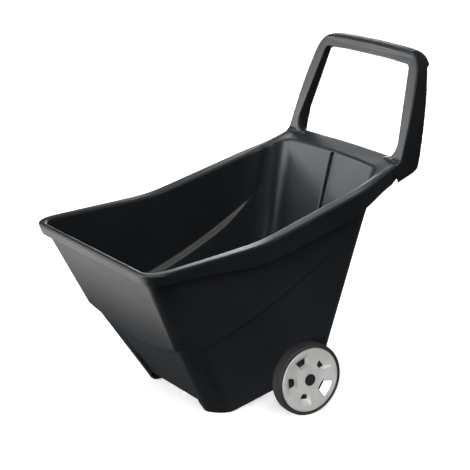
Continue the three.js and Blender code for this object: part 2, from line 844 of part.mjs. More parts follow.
// ---------------------------------------------------------------- wheel pieces
// Drawn for the left-hand wheel; the right-hand one is the same, turned round.
const innerX = wheel.outerX - wheel.width;
const hubInnerX = hub.faceX - hub.length;
const coreOuterX = wheel.outerX - cover.seat;
const beadRadius = wheel.radius - wheel.bead + gap;

function tyre() {
  const { radius, shoulder, outerX } = wheel;
  const steps = 4;
  const edge = shoulder * 0.6;
  const profile = [[innerX + 3, beadRadius], [innerX, beadRadius + 3]];
  for (let i = 0; i <= steps; i += 1) {
    const turn = (i / steps) * (Math.PI / 2);
    const rise = shoulder * (1 - Math.sin(turn));
    profile.push([innerX + shoulder * (1 - Math.cos(turn)), radius - wheel.crown - rise]);
  }
  profile.push([(innerX + outerX) / 2, radius]);
  for (let i = steps; i >= 0; i -= 1) {
    const turn = (i / steps) * (Math.PI / 2);
    const rise = edge * (1 - Math.sin(turn));
    profile.push([outerX - edge * (1 - Math.cos(turn)), radius - wheel.crown - rise]);
  }
  profile.push([outerX, cover.radius + 2], [outerX - 2, cover.radius + gap]);
  profile.push([coreOuterX, cover.radius + gap], [coreOuterX, beadRadius], profile[0]);
  return aroundX(profile, round.tyre);
}

// black hub, ribs and rim that carry the tyre
function wheelCore() {
  const out = beadRadius - gap;
  const band = out - wall;
  const bore = hub.bushRadius + gap;
  const webX = innerX + 9;
  const webOuterX = webX + hub.web;
  const profile = [
    [innerX + 2, out],
    [coreOuterX, out],
    [coreOuterX, band],
    [webOuterX, band],
    [webOuterX, hub.radius],
    [hub.faceX, hub.radius],
    [hub.faceX, bore],
    [hubInnerX, bore],
    [hubInnerX, hub.radius],
    [webX, hub.radius],
    [webX, band],
    [innerX + 2, band],
  ];
  const disc = toSolid(aroundX([...profile, profile[0]], round.wheel));
  const [ribFrom, ribTo] = [webX - 5, webOuterX + 6];
  const rib = new THREE.BoxGeometry(ribTo - ribFrom, hub.ribThickness, band - hub.radius + 3);
  const ribs = [];
  for (let i = 0; i < hub.ribs; i += 1) {
    const placed = rib.clone().translate((ribFrom + ribTo) / 2, 0, (band + hub.radius) / 2);
    ribs.push(toSolid(placed.rotateX((i / hub.ribs) * 2 * Math.PI)));
  }
  return toGeometry(join(disc, ...ribs));
}

// depth of the cover's face behind its outer lip, by radius
const coverX = (radius) => {
  const t = radius / cover.radius;
  return wheel.outerX - cover.dish * Math.sin(Math.PI * Math.min(1, t)) ** 2;
};

// silver five-spoke cover: a dished disc with a raised lip and pockets that open inwards
function wheelCover() {
  const flatRadius = cover.radius - cover.lip;
  const faceRadii = [0, 0.25, 0.5, 0.75, 1].map((t) => mix(cover.hole, flatRadius, t));
  const face = faceRadii.map((r) => [coverX(r), r]);
  const back = [...face].reverse().map(([x, r]) => [x - cover.thickness, r]);
  const lip = [
    [wheel.outerX + cover.lipProud, cover.radius - cover.lip + 1],
    [wheel.outerX, cover.radius],
    [coreOuterX + gap, cover.radius],
    [coreOuterX + gap, cover.radius - cover.lip],
  ];
  const section = [...face, ...lip, ...back, face[0]].reverse();
  const disc = toSolid(aroundX(section, round.wheel));
  const walls = [];
  const windows = [];
  for (let i = 0; i < cover.windows; i += 1) {
    const turn = radians(cover.clock + (i * 360) / cover.windows);
    const place = (geometry) => toSolid(geometry.rotateX(turn));
    walls.push(place(windowPrism(cover.pocketFrom, cover.pocket, cover.thickness)));
    windows.push(place(windowPrism(-cover.through, cover.pocket + cover.through, 0)));
  }
  return toGeometry(join(disc, ...walls).subtract(join(...windows)));
}

// a tapered prism round one window, between two depths, with its outline grown by `grow`
function windowPrism(fromDepth, toDepth, grow) {
  const outline = (depth) => {
    const at = (key) => mix(windowFront[key], windowBack[key], depth / cover.pocket);
    const [inner, outer] = [at('inner') - grow, at('outer') + grow];
    const [halfInner, halfOuter] = [at('halfInner') + grow, at('halfOuter') + grow];
    const x = wheel.outerX - cover.windowFace - depth;
    return [
      [x, inner, halfInner],
      [x, outer, halfOuter],
      [x, outer, -halfOuter],
      [x, inner, -halfInner],
    ];
  };
  const points = [...outline(fromDepth), ...outline(toDepth)];
  const index = [0, 2, 1, 0, 3, 2, 4, 5, 6, 4, 6, 7];
  for (let i = 0; i < 4; i += 1) {
    const next = (i + 1) % 4;
    index.push(i, next, i + 4, next, next + 4, i + 4);
  }
  const geometry = new THREE.BufferGeometry();
  geometry.setAttribute('position', new THREE.Float32BufferAttribute(points.flat(), 3));
  geometry.setIndex(index);
  return geometry;
}

// a plain ring between two faces
function sleeve(x0, x1, innerRadius, outerRadius) {
  const profile = [[x0, innerRadius], [x0, outerRadius], [x1, outerRadius], [x1, innerRadius]];
  return aroundX([...profile, profile[0]], round.shaft);
}

const shaftHole = axle.radius + gap;
const washerInnerX = hubInnerX - gap - washer.thickness;
const nutX = hub.faceX + gap + washer.thickness + gap;

// a pressed steel cap that bites on the axle's end
function pushNut() {
  const profile = [
    [nutX, shaftHole],
    [nutX, nut.radius],
    [nutX + nut.flange, nut.radius],
    [nutX + nut.thickness, shaftHole + 2],
    [nutX + nut.thickness, shaftHole],
  ];
  return aroundX([...profile, profile[0]], round.shaft);
}

// black button that closes the middle of the cover, with a collar behind the cover's hole
function hubCap() {
  const seatX = coverX(cover.hole) - 1;
  const collar = cap.radius - 0.6;
  const inside = cap.radius - cap.skin;
  const insideX = nutX + nut.thickness + axle.past + 1;
  const profile = [
    [seatX - 3, inside],
    [seatX - 3, collar],
    [seatX + 1.6, collar],
    [seatX + 2.6, cap.radius],
    [insideX + 0.4, cap.radius - 3],
    [insideX + cap.skin, cap.radius * 0.45],
    [insideX + 2, 0],
    [insideX, 0],
    [insideX - 0.4, inside - 2.5],
    [seatX, inside],
  ];
  return aroundX([...profile, profile[0]], round.shaft);
}

// ---------------------------------------------------------------- assembly
const root = new THREE.Group();

function piece(name, geometry, material, parent) {
  const mesh = new THREE.Mesh(geometry, material);
  mesh.name = name;
  parent.add(mesh);
  return mesh;
}

piece('cart_body', toGeometry(cartBody()), looks.body, root);
piece('handle_grip', toGeometry(handleGrip()), looks.grip, root);

const axleLine = new THREE.Group();
axleLine.position.z = wheel.radius;
root.add(axleLine);
const rodEnd = nutX + nut.thickness + axle.past;
piece('axle', aroundX(rodProfile(rodEnd), round.shaft), looks.steel, axleLine);

for (const [hand, sideName] of [[1, 'left'], [-1, 'right']]) {
  const group = new THREE.Group();
  if (hand < 0) group.rotation.z = Math.PI;
  axleLine.add(group);
  const add = (name, geometry, material) => piece(`${name}_${sideName}`, geometry, material, group);
  const spacerEnd = washerInnerX - gap;
  add('axle_spacer', sleeve(bossEnd() + gap, spacerEnd, shaftHole, spacer.radius), looks.nylon);
  add('inner_washer', sleeve(washerInnerX, hubInnerX - gap, shaftHole, washer.radius), looks.steel);
  add('hub_bush', sleeve(hubInnerX, hub.faceX, axle.radius + running, hub.bushRadius), looks.nylon);
  add('wheel_core', wheelCore(), looks.core);
  add('tyre', tyre(), looks.tyre);
  add('wheel_cover', wheelCover(), looks.silver);
  add('outer_washer', sleeve(hub.faceX + gap, nutX - gap, shaftHole, washer.outer), looks.steel);
  add('push_nut', pushNut(), looks.steel);
  add('hub_cap', hubCap(), looks.core);
}

// the origin is the bottom centre of the bounding box
root.updateMatrixWorld(true);
const bounds = new THREE.Box3().setFromObject(root);
const centre = bounds.getCenter(new THREE.Vector3());
root.position.set(-centre.x, -centre.y, -bounds.min.z);
root.updateMatrixWorld(true);

export default root;
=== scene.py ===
"""The looks of a moulded garden cart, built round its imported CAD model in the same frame.

Shapes are worked out in millimetres with the axle line above y = 0, the pouring lip towards -Y
and the cart's left-hand side towards +X, and then put in the model's frame in metres.
"""

import math

import bmesh
import bpy
import numpy as np
from mathutils import Matrix, Vector


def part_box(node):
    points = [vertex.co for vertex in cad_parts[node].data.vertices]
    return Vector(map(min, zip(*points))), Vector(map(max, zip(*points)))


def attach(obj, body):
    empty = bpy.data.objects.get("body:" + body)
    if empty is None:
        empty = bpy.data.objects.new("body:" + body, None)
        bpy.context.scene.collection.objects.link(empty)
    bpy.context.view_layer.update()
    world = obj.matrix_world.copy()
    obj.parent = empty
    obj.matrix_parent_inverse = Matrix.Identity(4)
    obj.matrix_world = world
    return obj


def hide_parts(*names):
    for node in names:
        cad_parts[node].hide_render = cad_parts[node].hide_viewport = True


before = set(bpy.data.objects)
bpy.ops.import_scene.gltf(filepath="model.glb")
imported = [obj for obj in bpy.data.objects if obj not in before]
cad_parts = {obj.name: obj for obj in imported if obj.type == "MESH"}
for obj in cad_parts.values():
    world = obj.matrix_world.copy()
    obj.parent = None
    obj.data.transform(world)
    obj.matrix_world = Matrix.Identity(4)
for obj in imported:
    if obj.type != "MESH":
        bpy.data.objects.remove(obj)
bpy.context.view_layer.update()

axle_low, axle_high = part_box("axle")
AXLE_Y = (axle_low.y + axle_high.y) / 2
AXLE_Z = (axle_low.z + axle_high.z) / 2 * 1000
FACE_LIMIT = 190_000  # triangles in one piece
VOXEL, COVER_VOXEL = ((2.0, 0.62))  # millimetres
TYRE_SEGMENTS = 360
GRIP_CELLS = ((260, 110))
BODY_SOFTENING, COVER_SOFTENING = 9, 4  # passes

# ------------------------------------------------------------------ sizes of the moulded body
WALL = 4.0
RIM = dict(front_y=-444, wing_y=290, shelf_y=302, rear_y=318, front_half=297, rear_half=240.5)
RIM.update(taper=0.05, tuck_y=150, corner_x=58, corner_y=60, edge=5, lip=422, lip_slope=0.08)
RIM.update(knee_y=-120, blend=18, climb=0.205, sweep_y=215, sweep=0.14, crown=4, crown_length=52)
RIM.update(width_front=12, width_corner=23, width_side=34, width_rear=56)
RIM.update(skirt_front=30, skirt_side=60, skirt_end=48, skirt_rear=28, draft=9)
RIM.update(deepen_end=20, ease_start=120, ease_end=260, turn_start=280, turn_end=312)
RIM.update(crown_end=257, bevel=0.3)
STEP = dict(front=207, corner_rise=4, sag=36, rise=0.279, growth=0.00048, end_y=190)
STEP.update(inset=11, drop=13, fade_start=60, fade_length=120, inside_rise=3)
MOUTH = dict(round_in=3, round_down=4)
PANEL = dict(crease=212, crease_inset=0.7, y=-332, upper_lean=0.517, upper_spread=0.233)
PANEL.update(lower_lean=0.6, lower_spread=0.354, column=72, column_foot=61, recess=8, lift=20)
SIDE = dict(step_half=240, step_y=-258, step_taper=0.062)
SIDE.update(bottom_half=172, bottom_y=-130, bottom_taper=0.08)
REAR = dict(top_y=265, lean=0.235, bow=8, column=62, column_foot=43)
ELBOW = dict(rim=0, mouth=0.12, walls=0.3)
FLOOR = dict(height=24, knee_y=-150, slope=0.2, thickness=4)
GROOVE = dict(width=13, depth=8, rib=24, low_z=210, below_top=8, rib_foot=20)
GROOVE.update(rib_bite=1, reach_in=12)
FOOT = dict(rear_y=-146, inner_x=118, inset=1, overlap=1.5, rise=2)
FOOT.update(block_front=-400, block_low=-50, block_high=100)


def lerp(a, b, t):
    return a + (b - a) * t


def smooth(t, low, high):
    t = min(1.0, max(0.0, (t - low) / (high - low)))
    return t * t * (3 - 2 * t)


def soft_ramp(t, blend):
    return blend * math.log1p(math.exp(t / blend))


def rail_height(y):
    at = min(y, RIM["shelf_y"])
    lip = RIM["lip"] + RIM["lip_slope"] * (at - RIM["front_y"])
    climb = RIM["climb"] * soft_ramp(at - RIM["knee_y"], RIM["blend"])
    return lip + climb + RIM["sweep"] * soft_ramp(at - RIM["sweep_y"], RIM["blend"])


SHELF_Z = rail_height(RIM["shelf_y"])
TOP_Z = SHELF_Z + 260.6  # top of the handle
REAR["top_z"] = SHELF_Z - 11.4
HANDLE = dict(front_y=RIM["wing_y"] + 8, base_z=SHELF_Z + 2.6, lean=0.314, rear_lean=0.19)
HANDLE.update(rear_y=354, rear_z=SHELF_Z - 17.4, heel=16, shoulder_half=212, shoulder_z=TOP_Z - 51)
HANDLE.update(swell_low=5, swell_high=13, swell_low_z=TOP_Z - 151, swell_high_z=TOP_Z - 101)
HANDLE.update(open_low=209, open_high=173, open_z=TOP_Z - 37, open_round=12)
HANDLE.update(shell=4, inner_low=34, inner_high=22, rib_pitch=48, fill=36)
HANDLE.update(below=60, join_rise=8, shoulder_in=9, shoulder_down=14, wing_fall=6)
HANDLE.update(open_below=80, open_narrowing=2, first_rib=14, last_rib=10)
# how far cutting and filling blocks reach past what they cut or fill
PAST = dict(view=60, near=40, far=20, opening=30, low=40, trim=8, trim_low=20, trim_high=25)
PAST.update(trim_top=6, skin=1, seam=0.15, bar=0.2, seat=8, seat_angle=1.2)
FILL = dict(sink=2, toe=2, side=8, under=3, short=1)  # the rounded corners of the opening
BAR = dict(height=36, depth=35, z=TOP_Z - 18, arch=4, span=170, square=3, ease=8, end_wall=12)
GRIP = dict(half=158, thickness=3, proud=1.2, start=-62, end=118, clip=14, clip_half=5)
GRIP.update(crease=50, fall=1.2, fall_length=3, fall_angle=8)  # crease in degrees
GRIP.update(clip_at=0.55, clip_drop=2, clip_nose=2)
TUNNEL = dict(height=24, half=20, foot=30, end_wall=14, bays=4, foot_in=1, spring_drop=4)
BOSS = dict(reach=31.4, radius=20, root=12, flare=5)
AXLE_R = 6.35
GAP = 0.3
DASH = dict(row=4.2, rows=5, pitch=11.0, length=7.5, width=2.2, rise=0.7, margin=10, start=12)
WHEEL = dict(radius=91, outer_x=290.5, inner_x=255, core_x=283.5, shoulder=9, crown=0.7)
WHEEL.update(bead_radius=76, cover_radius=80, outer_shoulder=0.6, bead_round=3)
WHEEL.update(line=2.6, line_half=0.6, line_depth=0.5, seat_bevel=2)
TREAD = dict(groove=0.5, groove_half=0.9, at=(0.2, 0.5, 0.8))
COVER = dict(lip=3.5, proud=0.4, dish=5, hole=14.6, thickness=2, windows=5, clock=22.5)
COVER.update(face=1.2, pocket_from=2.6, pocket=15, before=9, beyond=8, corner=4.5, arch=0.6)
COVER.update(ridge_from=1, ridge_to=2.4, ridge_fall=0.7, edge_round=0.4, edge_drop=0.6)
COVER.update(front=(37, 66, 12, 22), back=(37, 52, 9, 13))  # inner, outer, half widths
CAP = dict(radius=15, skin=1.8, inside_x=290.1, crease=40)  # crease in degrees
CAP.update(sunk=1, spigot=3, step=0.6, neck=1.6, brim=2.6, brim_back=0.4, brim_in=3)
CAP.update(brim_round=0.8, dome=((0.35, 0.62), (0.1, 0.52), (0, 0.42)), inner_in=2.5)
CAP.update(dimple=((0, 3.4), (0.5, 2.8), (0.6, 0)), middle_back=0.2, inner_back=0.4)


def shelf_crown(x, y):
    across = max(0.0, 1 - (x / RIM["rear_half"]) ** 2)
    end = RIM["crown_end"]
    return RIM["crown"] * across * smooth(y, end - RIM["crown_length"], end)


def rim_top(x, y):
    return rail_height(y) + shelf_crown(x, y)


TUCK = RIM["front_half"] - RIM["taper"] * (RIM["wing_y"] - RIM["front_y"]) - RIM["rear_half"]


def rail_half(y):
    along = min(y, RIM["wing_y"]) - RIM["front_y"]
    tuck = TUCK * smooth(y, RIM["tuck_y"], RIM["wing_y"])
    return RIM["front_half"] - RIM["taper"] * along - tuck


def rail_width(y):
    t = smooth(y, RIM["front_y"] + RIM["corner_y"], 0)
    return lerp(RIM["width_corner"], RIM["width_side"], t)


def skirt_depth(y):
    grown = smooth(y, RIM["front_y"], RIM["deepen_end"])
    ahead = lerp(RIM["skirt_front"], RIM["skirt_side"], grown)
    return lerp(ahead, RIM["skirt_end"], smooth(y, RIM["ease_start"], RIM["ease_end"]))


def step_height(y):
    t = max(0.0, min(y, STEP["end_y"]) - (PANEL["y"] + PANEL["column"]))
    return STEP["front"] + STEP["corner_rise"] + STEP["rise"] * t + STEP["growth"] * t * t


def step_fade(y):
    return 1 - smooth(y, STEP["fade_start"], STEP["fade_start"] + STEP["fade_length"])


def smile(x):
    return STEP["front"] - STEP["sag"] * (1 - (x / PANEL["crease"]) ** 2)


def rear_wall_y(z):
    return REAR["top_y"] - REAR["lean"] * (REAR["top_z"] - z)


def rear_bow(z):
    return REAR["bow"] * z / REAR["top_z"]


def underside_at(y):
    return FLOOR["height"] + FLOOR["slope"] * max(0.0, y - FLOOR["knee_y"])


# ------------------------------------------------------------------ mesh helpers
def in_frame(points):
    """Millimetres round the axle line to metres in the model's frame."""
    return np.asarray(points, float) * 0.001 + np.array([0, AXLE_Y, 0])


def new_object(name, points, faces):
    mesh = bpy.data.meshes.new(name)
    mesh.from_pydata([tuple(p) for p in in_frame(points)], [], [tuple(f) for f in faces])
    made = bmesh.new()
    made.from_mesh(mesh)
    bmesh.ops.recalc_face_normals(made, faces=made.faces)
    made.to_mesh(mesh)
    made.free()
    obj = bpy.data.objects.new(name, mesh)
    bpy.context.scene.collection.objects.link(obj)
    return obj


def settle(obj):
    """Replaces an object's mesh by what its modifiers make of it."""
    bpy.context.view_layer.update()
    evaluated = obj.evaluated_get(bpy.context.evaluated_depsgraph_get())
    mesh = bpy.data.meshes.new_from_object(evaluated)
    old = obj.data
    obj.modifiers.clear()
    obj.data = mesh
    bpy.data.meshes.remove(old)
    return obj


def drop(obj):
    mesh = obj.data
    bpy.data.objects.remove(obj)
    bpy.data.meshes.remove(mesh)


def combine(base, tool, operation):
    cut = base.modifiers.new("cut", "BOOLEAN")
    cut.operation = operation
    cut.solver = "EXACT"
    cut.object = tool
    settle(base)
    drop(tool)
    return base


def unite(base, *tools):
    for tool in tools:
        combine(base, tool, "UNION")
    return base


def cut(base, *tools):
    for tool in tools:
        combine(base, tool, "DIFFERENCE")
    return base


def common(base, tool):
    return combine(base, tool, "INTERSECT")


def prism(loop, axis, low, high, slices=1, bend=0.0):
    """A 2-D loop pushed along an axis. Loops along Y are (x, z), along X (y, z), along Z (x, y)."""
    points = []
    for i in range(slices + 1):
        at = lerp(low, high, i / slices)
        for a, b in loop:
            if axis == "x":
                points.append((at, a, b - bend * (at / BAR["span"]) ** 2))
            elif axis == "y":
                points.append((a, at, b))
            else:
                points.append((a, b, at))
    count = len(loop)
    faces = [list(range(count)), list(range(slices * count, (slices + 1) * count))]
    for i in range(slices):
        for j in range(count):
            a, b = i * count + j, i * count + (j + 1) % count
            faces.append((a, b, b + count, a + count))
    return new_object("prism", points, faces)


def weld(obj):
    """Joins points that coincide, drops empty faces and turns the rest outwards."""
    made = bmesh.new()
    made.from_mesh(obj.data)
    bmesh.ops.remove_doubles(made, verts=made.verts, dist=1e-6)
    bmesh.ops.dissolve_degenerate(made, edges=made.edges, dist=1e-7)
    bmesh.ops.recalc_face_normals(made, faces=made.faces)
    made.to_mesh(obj.data)
    made.free()
    return obj


def turned(name, profile, segments, closed=True):
    """A solid of revolution round the axle line; the profile is (x, radius) pairs."""
    points, faces = [], []
    count = len(profile)
    for i in range(segments):
        angle = 2 * math.pi * i / segments
        c, s = math.cos(angle), math.sin(angle)
        points += [(x, r * c, r * s + AXLE_Z) for x, r in profile]
    for i in range(segments):
        k = (i + 1) % segments
        for j in range(count if closed else count - 1):
            m = (j + 1) % count
            faces.append((i * count + j, i * count + m, k * count + m, k * count + j))
    obj = new_object(name, points, faces)
    return obj if closed else weld(obj)


def rounded(profile, radius, steps=4, closed=True):
    """Rounds every corner of a profile; a third number in a pair is that corner's own radius."""
    made = []
    count = len(profile)
    for i, corner in enumerate(profile):
        here = np.array(corner[:2], float)
        own = corner[2] if len(corner) > 2 else radius
        if own <= 0 or (not closed and i in (0, count - 1)):
            made.append(tuple(here))
            continue
        before = np.array(profile[i - 1][:2], float) - here
        after = np.array(profile[(i + 1) % count][:2], float) - here
        reach = min(own, 0.48 * np.linalg.norm(before), 0.48 * np.linalg.norm(after))
        start = here + before / np.linalg.norm(before) * reach
        end = here + after / np.linalg.norm(after) * reach
        for k in range(steps + 1):
            t = k / steps
            made.append(tuple((1 - t) ** 2 * start + 2 * t * (1 - t) * here + t * t * end))
    return made


def quad_curve(p0, p1, p2, count):
    p0, p1, p2 = (np.array(p, float) for p in (p0, p1, p2))
    ts = np.linspace(0, 1, count + 1)[1:]
    return [tuple((1 - t) ** 2 * p0 + 2 * t * (1 - t) * p1 + t * t * p2) for t in ts]


def cubic_curve(p0, p1, p2, p3, count):
    p0, p1, p2, p3 = (np.array(p, float) for p in (p0, p1, p2, p3))
    ts = np.linspace(0, 1, count + 1)[1:]
    return [
        tuple((1 - t) ** 3 * p0 + 3 * t * (1 - t) ** 2 * p1 + 3 * t * t * (1 - t) * p2 + t**3 * p3)
        for t in ts
    ]


def mirrored(half):
    """A loop from its right half, which starts and ends on the middle line or short of it."""
    other = [(-x, z) for x, z in reversed(half) if abs(x) > 1e-6]
    return half + other


def mould(obj, voxel, relax, limit=FACE_LIMIT):
    """Makes one even skin round joined solids, softens its edges and thins it out."""
    skin = obj.modifiers.new("skin", "REMESH")
    skin.mode = "VOXEL"
    skin.voxel_size = voxel * 0.001
    settle(obj)
    soften = obj.modifiers.new("soften", "SMOOTH")
    soften.factor = 0.5
    soften.iterations = relax
    settle(obj)
    triangles = sum(len(p.vertices) - 2 for p in obj.data.polygons)
    if triangles > limit:
        thin = obj.modifiers.new("thin", "DECIMATE")
        thin.ratio = limit / triangles
        settle(obj)
    obj.data.shade_smooth()
    return obj


# ------------------------------------------------------------------ tub
RECESS_END, RECESS_EDGE = 0.8, 0.04  # parts of the front panel's half width
FRONT = list(np.linspace(0, RECESS_END, 9))
FRONT += [RECESS_END + RECESS_EDGE * k / 6 for k in range(1, 7)] + [0.92, 1.0]
COLUMN_STEPS, SIDE_STEPS, REAR_COLUMN_STEPS, REAR_STEPS = 22, 56, 20, 20


def ring(**level):
    """One ring round the tub: front panel, corner column, side, rear column, rear wall."""
    half = []
    crease_x, front_y, height = level["crease_x"], level["front_y"], level["height"]
    spread, lean, base_z = level.get("spread", 0), level.get("lean", 0), level.get("base_z", 0)
    side_x, side_start, side_end = level["side_x"], level["side_start"], level["side_end"]
    for f in FRONT:
        z = level["front_z"](f * crease_x)
        x = f * (crease_x + spread * (z - base_z))
        back = level.get("recess", 0) * (1 - smooth(f, RECESS_END, RECESS_END + RECESS_EDGE))
        half.append((x, front_y - lean * (z - base_z) + back, z))
    start = (side_x(side_start), side_start)
    crease = half[-1]
    corner = (start[0], lerp(front_y, side_start, level["elbow"]))
    turn = quad_curve(crease[:2], corner, start, COLUMN_STEPS)
    for i, (x, y) in enumerate(turn, 1):
        half.append((x, y, lerp(crease[2], height(x, y), smooth(i, 0, COLUMN_STEPS))))
    for i in range(1, SIDE_STEPS + 1):
        y = lerp(side_start, side_end, i / SIDE_STEPS)
        half.append((side_x(y), y, height(side_x(y), y)))
    end = (side_x(side_end), side_end)
    rear_y, rear_x = level["rear_y"], end[0] - level["column"]
    for x, y in quad_curve(end, (end[0], rear_y), (rear_x, rear_y), REAR_COLUMN_STEPS):
        half.append((x, y, height(x, y)))
    for i in range(1, REAR_STEPS + 1):
        x = rear_x * (1 - i / REAR_STEPS)
        y = rear_y + level.get("bow", 0) * (1 - (x / rear_x) ** 2)
        half.append((x, y, height(x, rear_y)))
    return half + [(-x, y, z) for x, y, z in reversed(half[1:-1])]


def rim_ring(inset, fall):
    def height(x, y):
        return rim_top(x, y) - fall(x, y)

    return ring(
        crease_x=RIM["front_half"] - RIM["corner_x"],
        front_y=RIM["front_y"] + inset,
        front_z=lambda x: height(x, RIM["front_y"]),
        elbow=ELBOW["rim"],
        side_start=RIM["front_y"] + RIM["corner_y"],
        side_x=lambda y: rail_half(y) - inset,
        side_end=RIM["wing_y"],
        column=RIM["rear_y"] - inset - RIM["wing_y"],
        rear_y=RIM["rear_y"] - inset,
        height=height,
    )


def mouth_ring(inset, fall):
    front_y = RIM["front_y"] + RIM["width_front"] + inset

    def height(x, y):
        return rim_top(x, y) - fall

    return ring(
        crease_x=RIM["front_half"] - RIM["corner_x"] - inset,
        front_y=front_y,
        front_z=lambda x: height(x, front_y),
        elbow=ELBOW["mouth"],
        side_start=RIM["front_y"] + RIM["corner_y"] + RIM["width_front"],
        side_x=lambda y: rail_half(y) - rail_width(y) - inset,
        side_end=REAR["top_y"] - WALL - REAR["column"],
        column=REAR["column"],
        bow=REAR["bow"],
        rear_y=RIM["rear_y"] - RIM["width_rear"] - inset,
        height=height,
    )


def step_ring(lower, inset, rise):
    def height(x, y):
        return step_height(y) - lower * STEP["drop"] * step_fade(y) + rise

    def side_x(y):
        inward = lower * STEP["inset"] * step_fade(y) + inset
        return SIDE["step_half"] - SIDE["step_taper"] * (y - SIDE["step_y"]) - inward

    rear_z = step_height(REAR["top_y"])
    rear_y = rear_wall_y(rear_z) - inset
    shift = PANEL["upper_lean"] * (STEP["drop"] * lower - rise)
    return ring(
        crease_x=PANEL["crease"] - lower * STEP["inset"] * PANEL["crease_inset"] - inset,
        front_y=PANEL["y"] + shift + lower * STEP["inset"] + inset,
        front_z=lambda x: smile(x) - lower * STEP["drop"] + rise,
        base_z=STEP["front"] - lower * STEP["drop"] + rise,
        spread=PANEL["lower_spread" if lower else "upper_spread"],
        lean=PANEL["lower_lean" if lower else "upper_lean"],
        elbow=ELBOW["walls"],
        side_start=PANEL["y"] + PANEL["column"] + lower * STEP["inset"],
        side_x=side_x,
        side_end=rear_y - REAR["column"],
        column=REAR["column"],
        bow=rear_bow(rear_z),
        rear_y=rear_y,
        height=height,
    )


def bottom_ring(inset, height, front_z, recess):
    drop_z = STEP["front"] - STEP["drop"]
    crease = PANEL["crease"] - STEP["inset"] * PANEL["crease_inset"]
    front_y = PANEL["y"] + PANEL["upper_lean"] * STEP["drop"] + STEP["inset"]
    front_y += PANEL["lower_lean"] * drop_z
    rear_z = underside_at(REAR["top_y"] - REAR["lean"] * REAR["top_z"])
    rear_y = rear_wall_y(rear_z) - inset
    return ring(
        crease_x=crease - PANEL["lower_spread"] * drop_z - inset,
        front_y=front_y + inset,
        front_z=front_z,
        base_z=0,
        spread=PANEL["lower_spread"],
        lean=PANEL["lower_lean"],
        recess=recess,
        elbow=ELBOW["walls"],
        side_start=front_y + PANEL["column_foot"],
        side_x=lambda y: SIDE["bottom_half"]
        - SIDE["bottom_taper"] * (y - SIDE["bottom_y"])
        - inset,
        side_end=rear_y - REAR["column_foot"],
        column=REAR["column_foot"],
        bow=rear_bow(rear_z),
        rear_y=rear_y,
        height=height,
    )


def tub_shell():
    def skirt(x, y):
        turned_in = smooth(y, RIM["turn_start"], RIM["turn_end"])
        return lerp(skirt_depth(y), RIM["skirt_rear"], turned_in)

    def bottom_edge(x, y):
        return FLOOR["slope"] * max(0.0, y - FLOOR["knee_y"])

    def front_edge(x):
        return PANEL["lift"] if x < FOOT["inner_x"] else 0.0

    def underside(x, y):
        return underside_at(y)

    def floor_top(x, y):
        return underside_at(y) + FLOOR["thickness"]

    edge, draft, front_floor = RIM["edge"], RIM["draft"], FLOOR["height"] + FLOOR["thickness"]
    bevel = edge * RIM["bevel"]
    rings = [
        bottom_ring(WALL + 1, underside, lambda x: FLOOR["height"], PANEL["recess"]),
        bottom_ring(WALL, bottom_edge, front_edge, PANEL["recess"]),
        bottom_ring(0, bottom_edge, front_edge, PANEL["recess"]),
        step_ring(1, 0, 0),
        step_ring(0, 0, 0),
        mouth_ring(-WALL, WALL),
        rim_ring(WALL, lambda x, y: WALL),
        rim_ring(WALL + draft, skirt),
        rim_ring(draft, skirt),
        rim_ring(0, lambda x, y: edge),
        rim_ring(bevel, lambda x, y: bevel),
        rim_ring(edge, lambda x, y: 0.0),
        mouth_ring(0, 0),
        mouth_ring(MOUTH["round_in"], MOUTH["round_down"]),
        step_ring(0, WALL, STEP["inside_rise"]),
        step_ring(1, WALL, STEP["inside_rise"]),
        bottom_ring(WALL, floor_top, lambda x: front_floor, PANEL["recess"]),
    ]
    count = len(rings[0])
    points = [p for r in rings for p in r]
    faces = []
    for level in range(len(rings) - 1):
        for i in range(count):
            a, b = level * count + i, level * count + (i + 1) % count
            faces.append((a, b, b + count, a + count))
    mid_y = (RIM["knee_y"] + rear_wall_y(0)) / 3
    points += [(0, mid_y, underside_at(mid_y))]
    points += [(0, mid_y, underside_at(mid_y) + FLOOR["thickness"])]
    under, over = len(points) - 2, len(points) - 1
    top = (len(rings) - 1) * count
    for i in range(count):
        k = (i + 1) % count
        faces += [(under, k, i), (over, top + i, top + k)]
    return new_object("tub", points, faces)


def side_wall_at_axle():
    bottom = SIDE["bottom_half"] + SIDE["bottom_taper"] * SIDE["bottom_y"]
    top = SIDE["step_half"] + SIDE["step_taper"] * SIDE["step_y"] - STEP["inset"]
    edge_z = -FLOOR["slope"] * FLOOR["knee_y"]
    return lerp(bottom, top, (AXLE_Z - edge_z) / (step_height(0) - edge_z))


WALL_X = side_wall_at_axle()
BOSS_END = WALL_X + BOSS["reach"]
REACH = RIM["front_half"]


def axle_tunnel():
    crown, foot, half = AXLE_Z + TUNNEL["height"], TUNNEL["foot"], TUNNEL["half"]
    skin = FLOOR["thickness"] / 2
    loop = [(-foot, underside_at(-foot) + skin), (foot, underside_at(foot) + skin)]
    return prism(loop + [(half, crown), (-half, crown)], "x", WALL / 2 - WALL_X, WALL_X - WALL / 2)


def tunnel_bays():
    crown = AXLE_Z + TUNNEL["height"] - WALL
    inside, half = TUNNEL["foot"] - WALL - TUNNEL["foot_in"], TUNNEL["half"] - WALL
    spring = underside_at(0) - TUNNEL["spring_drop"]
    loop = [(-inside, 0), (inside, 0), (inside, spring), (half, crown), (-half, crown)]
    loop.append((-inside, spring))
    end = WALL_X - TUNNEL["end_wall"]
    pitch = 2 * end / TUNNEL["bays"]
    starts = [-end + i * pitch for i in range(TUNNEL["bays"])]
    return [prism(loop, "x", x + WALL / 2, x + pitch - WALL / 2) for x in starts]


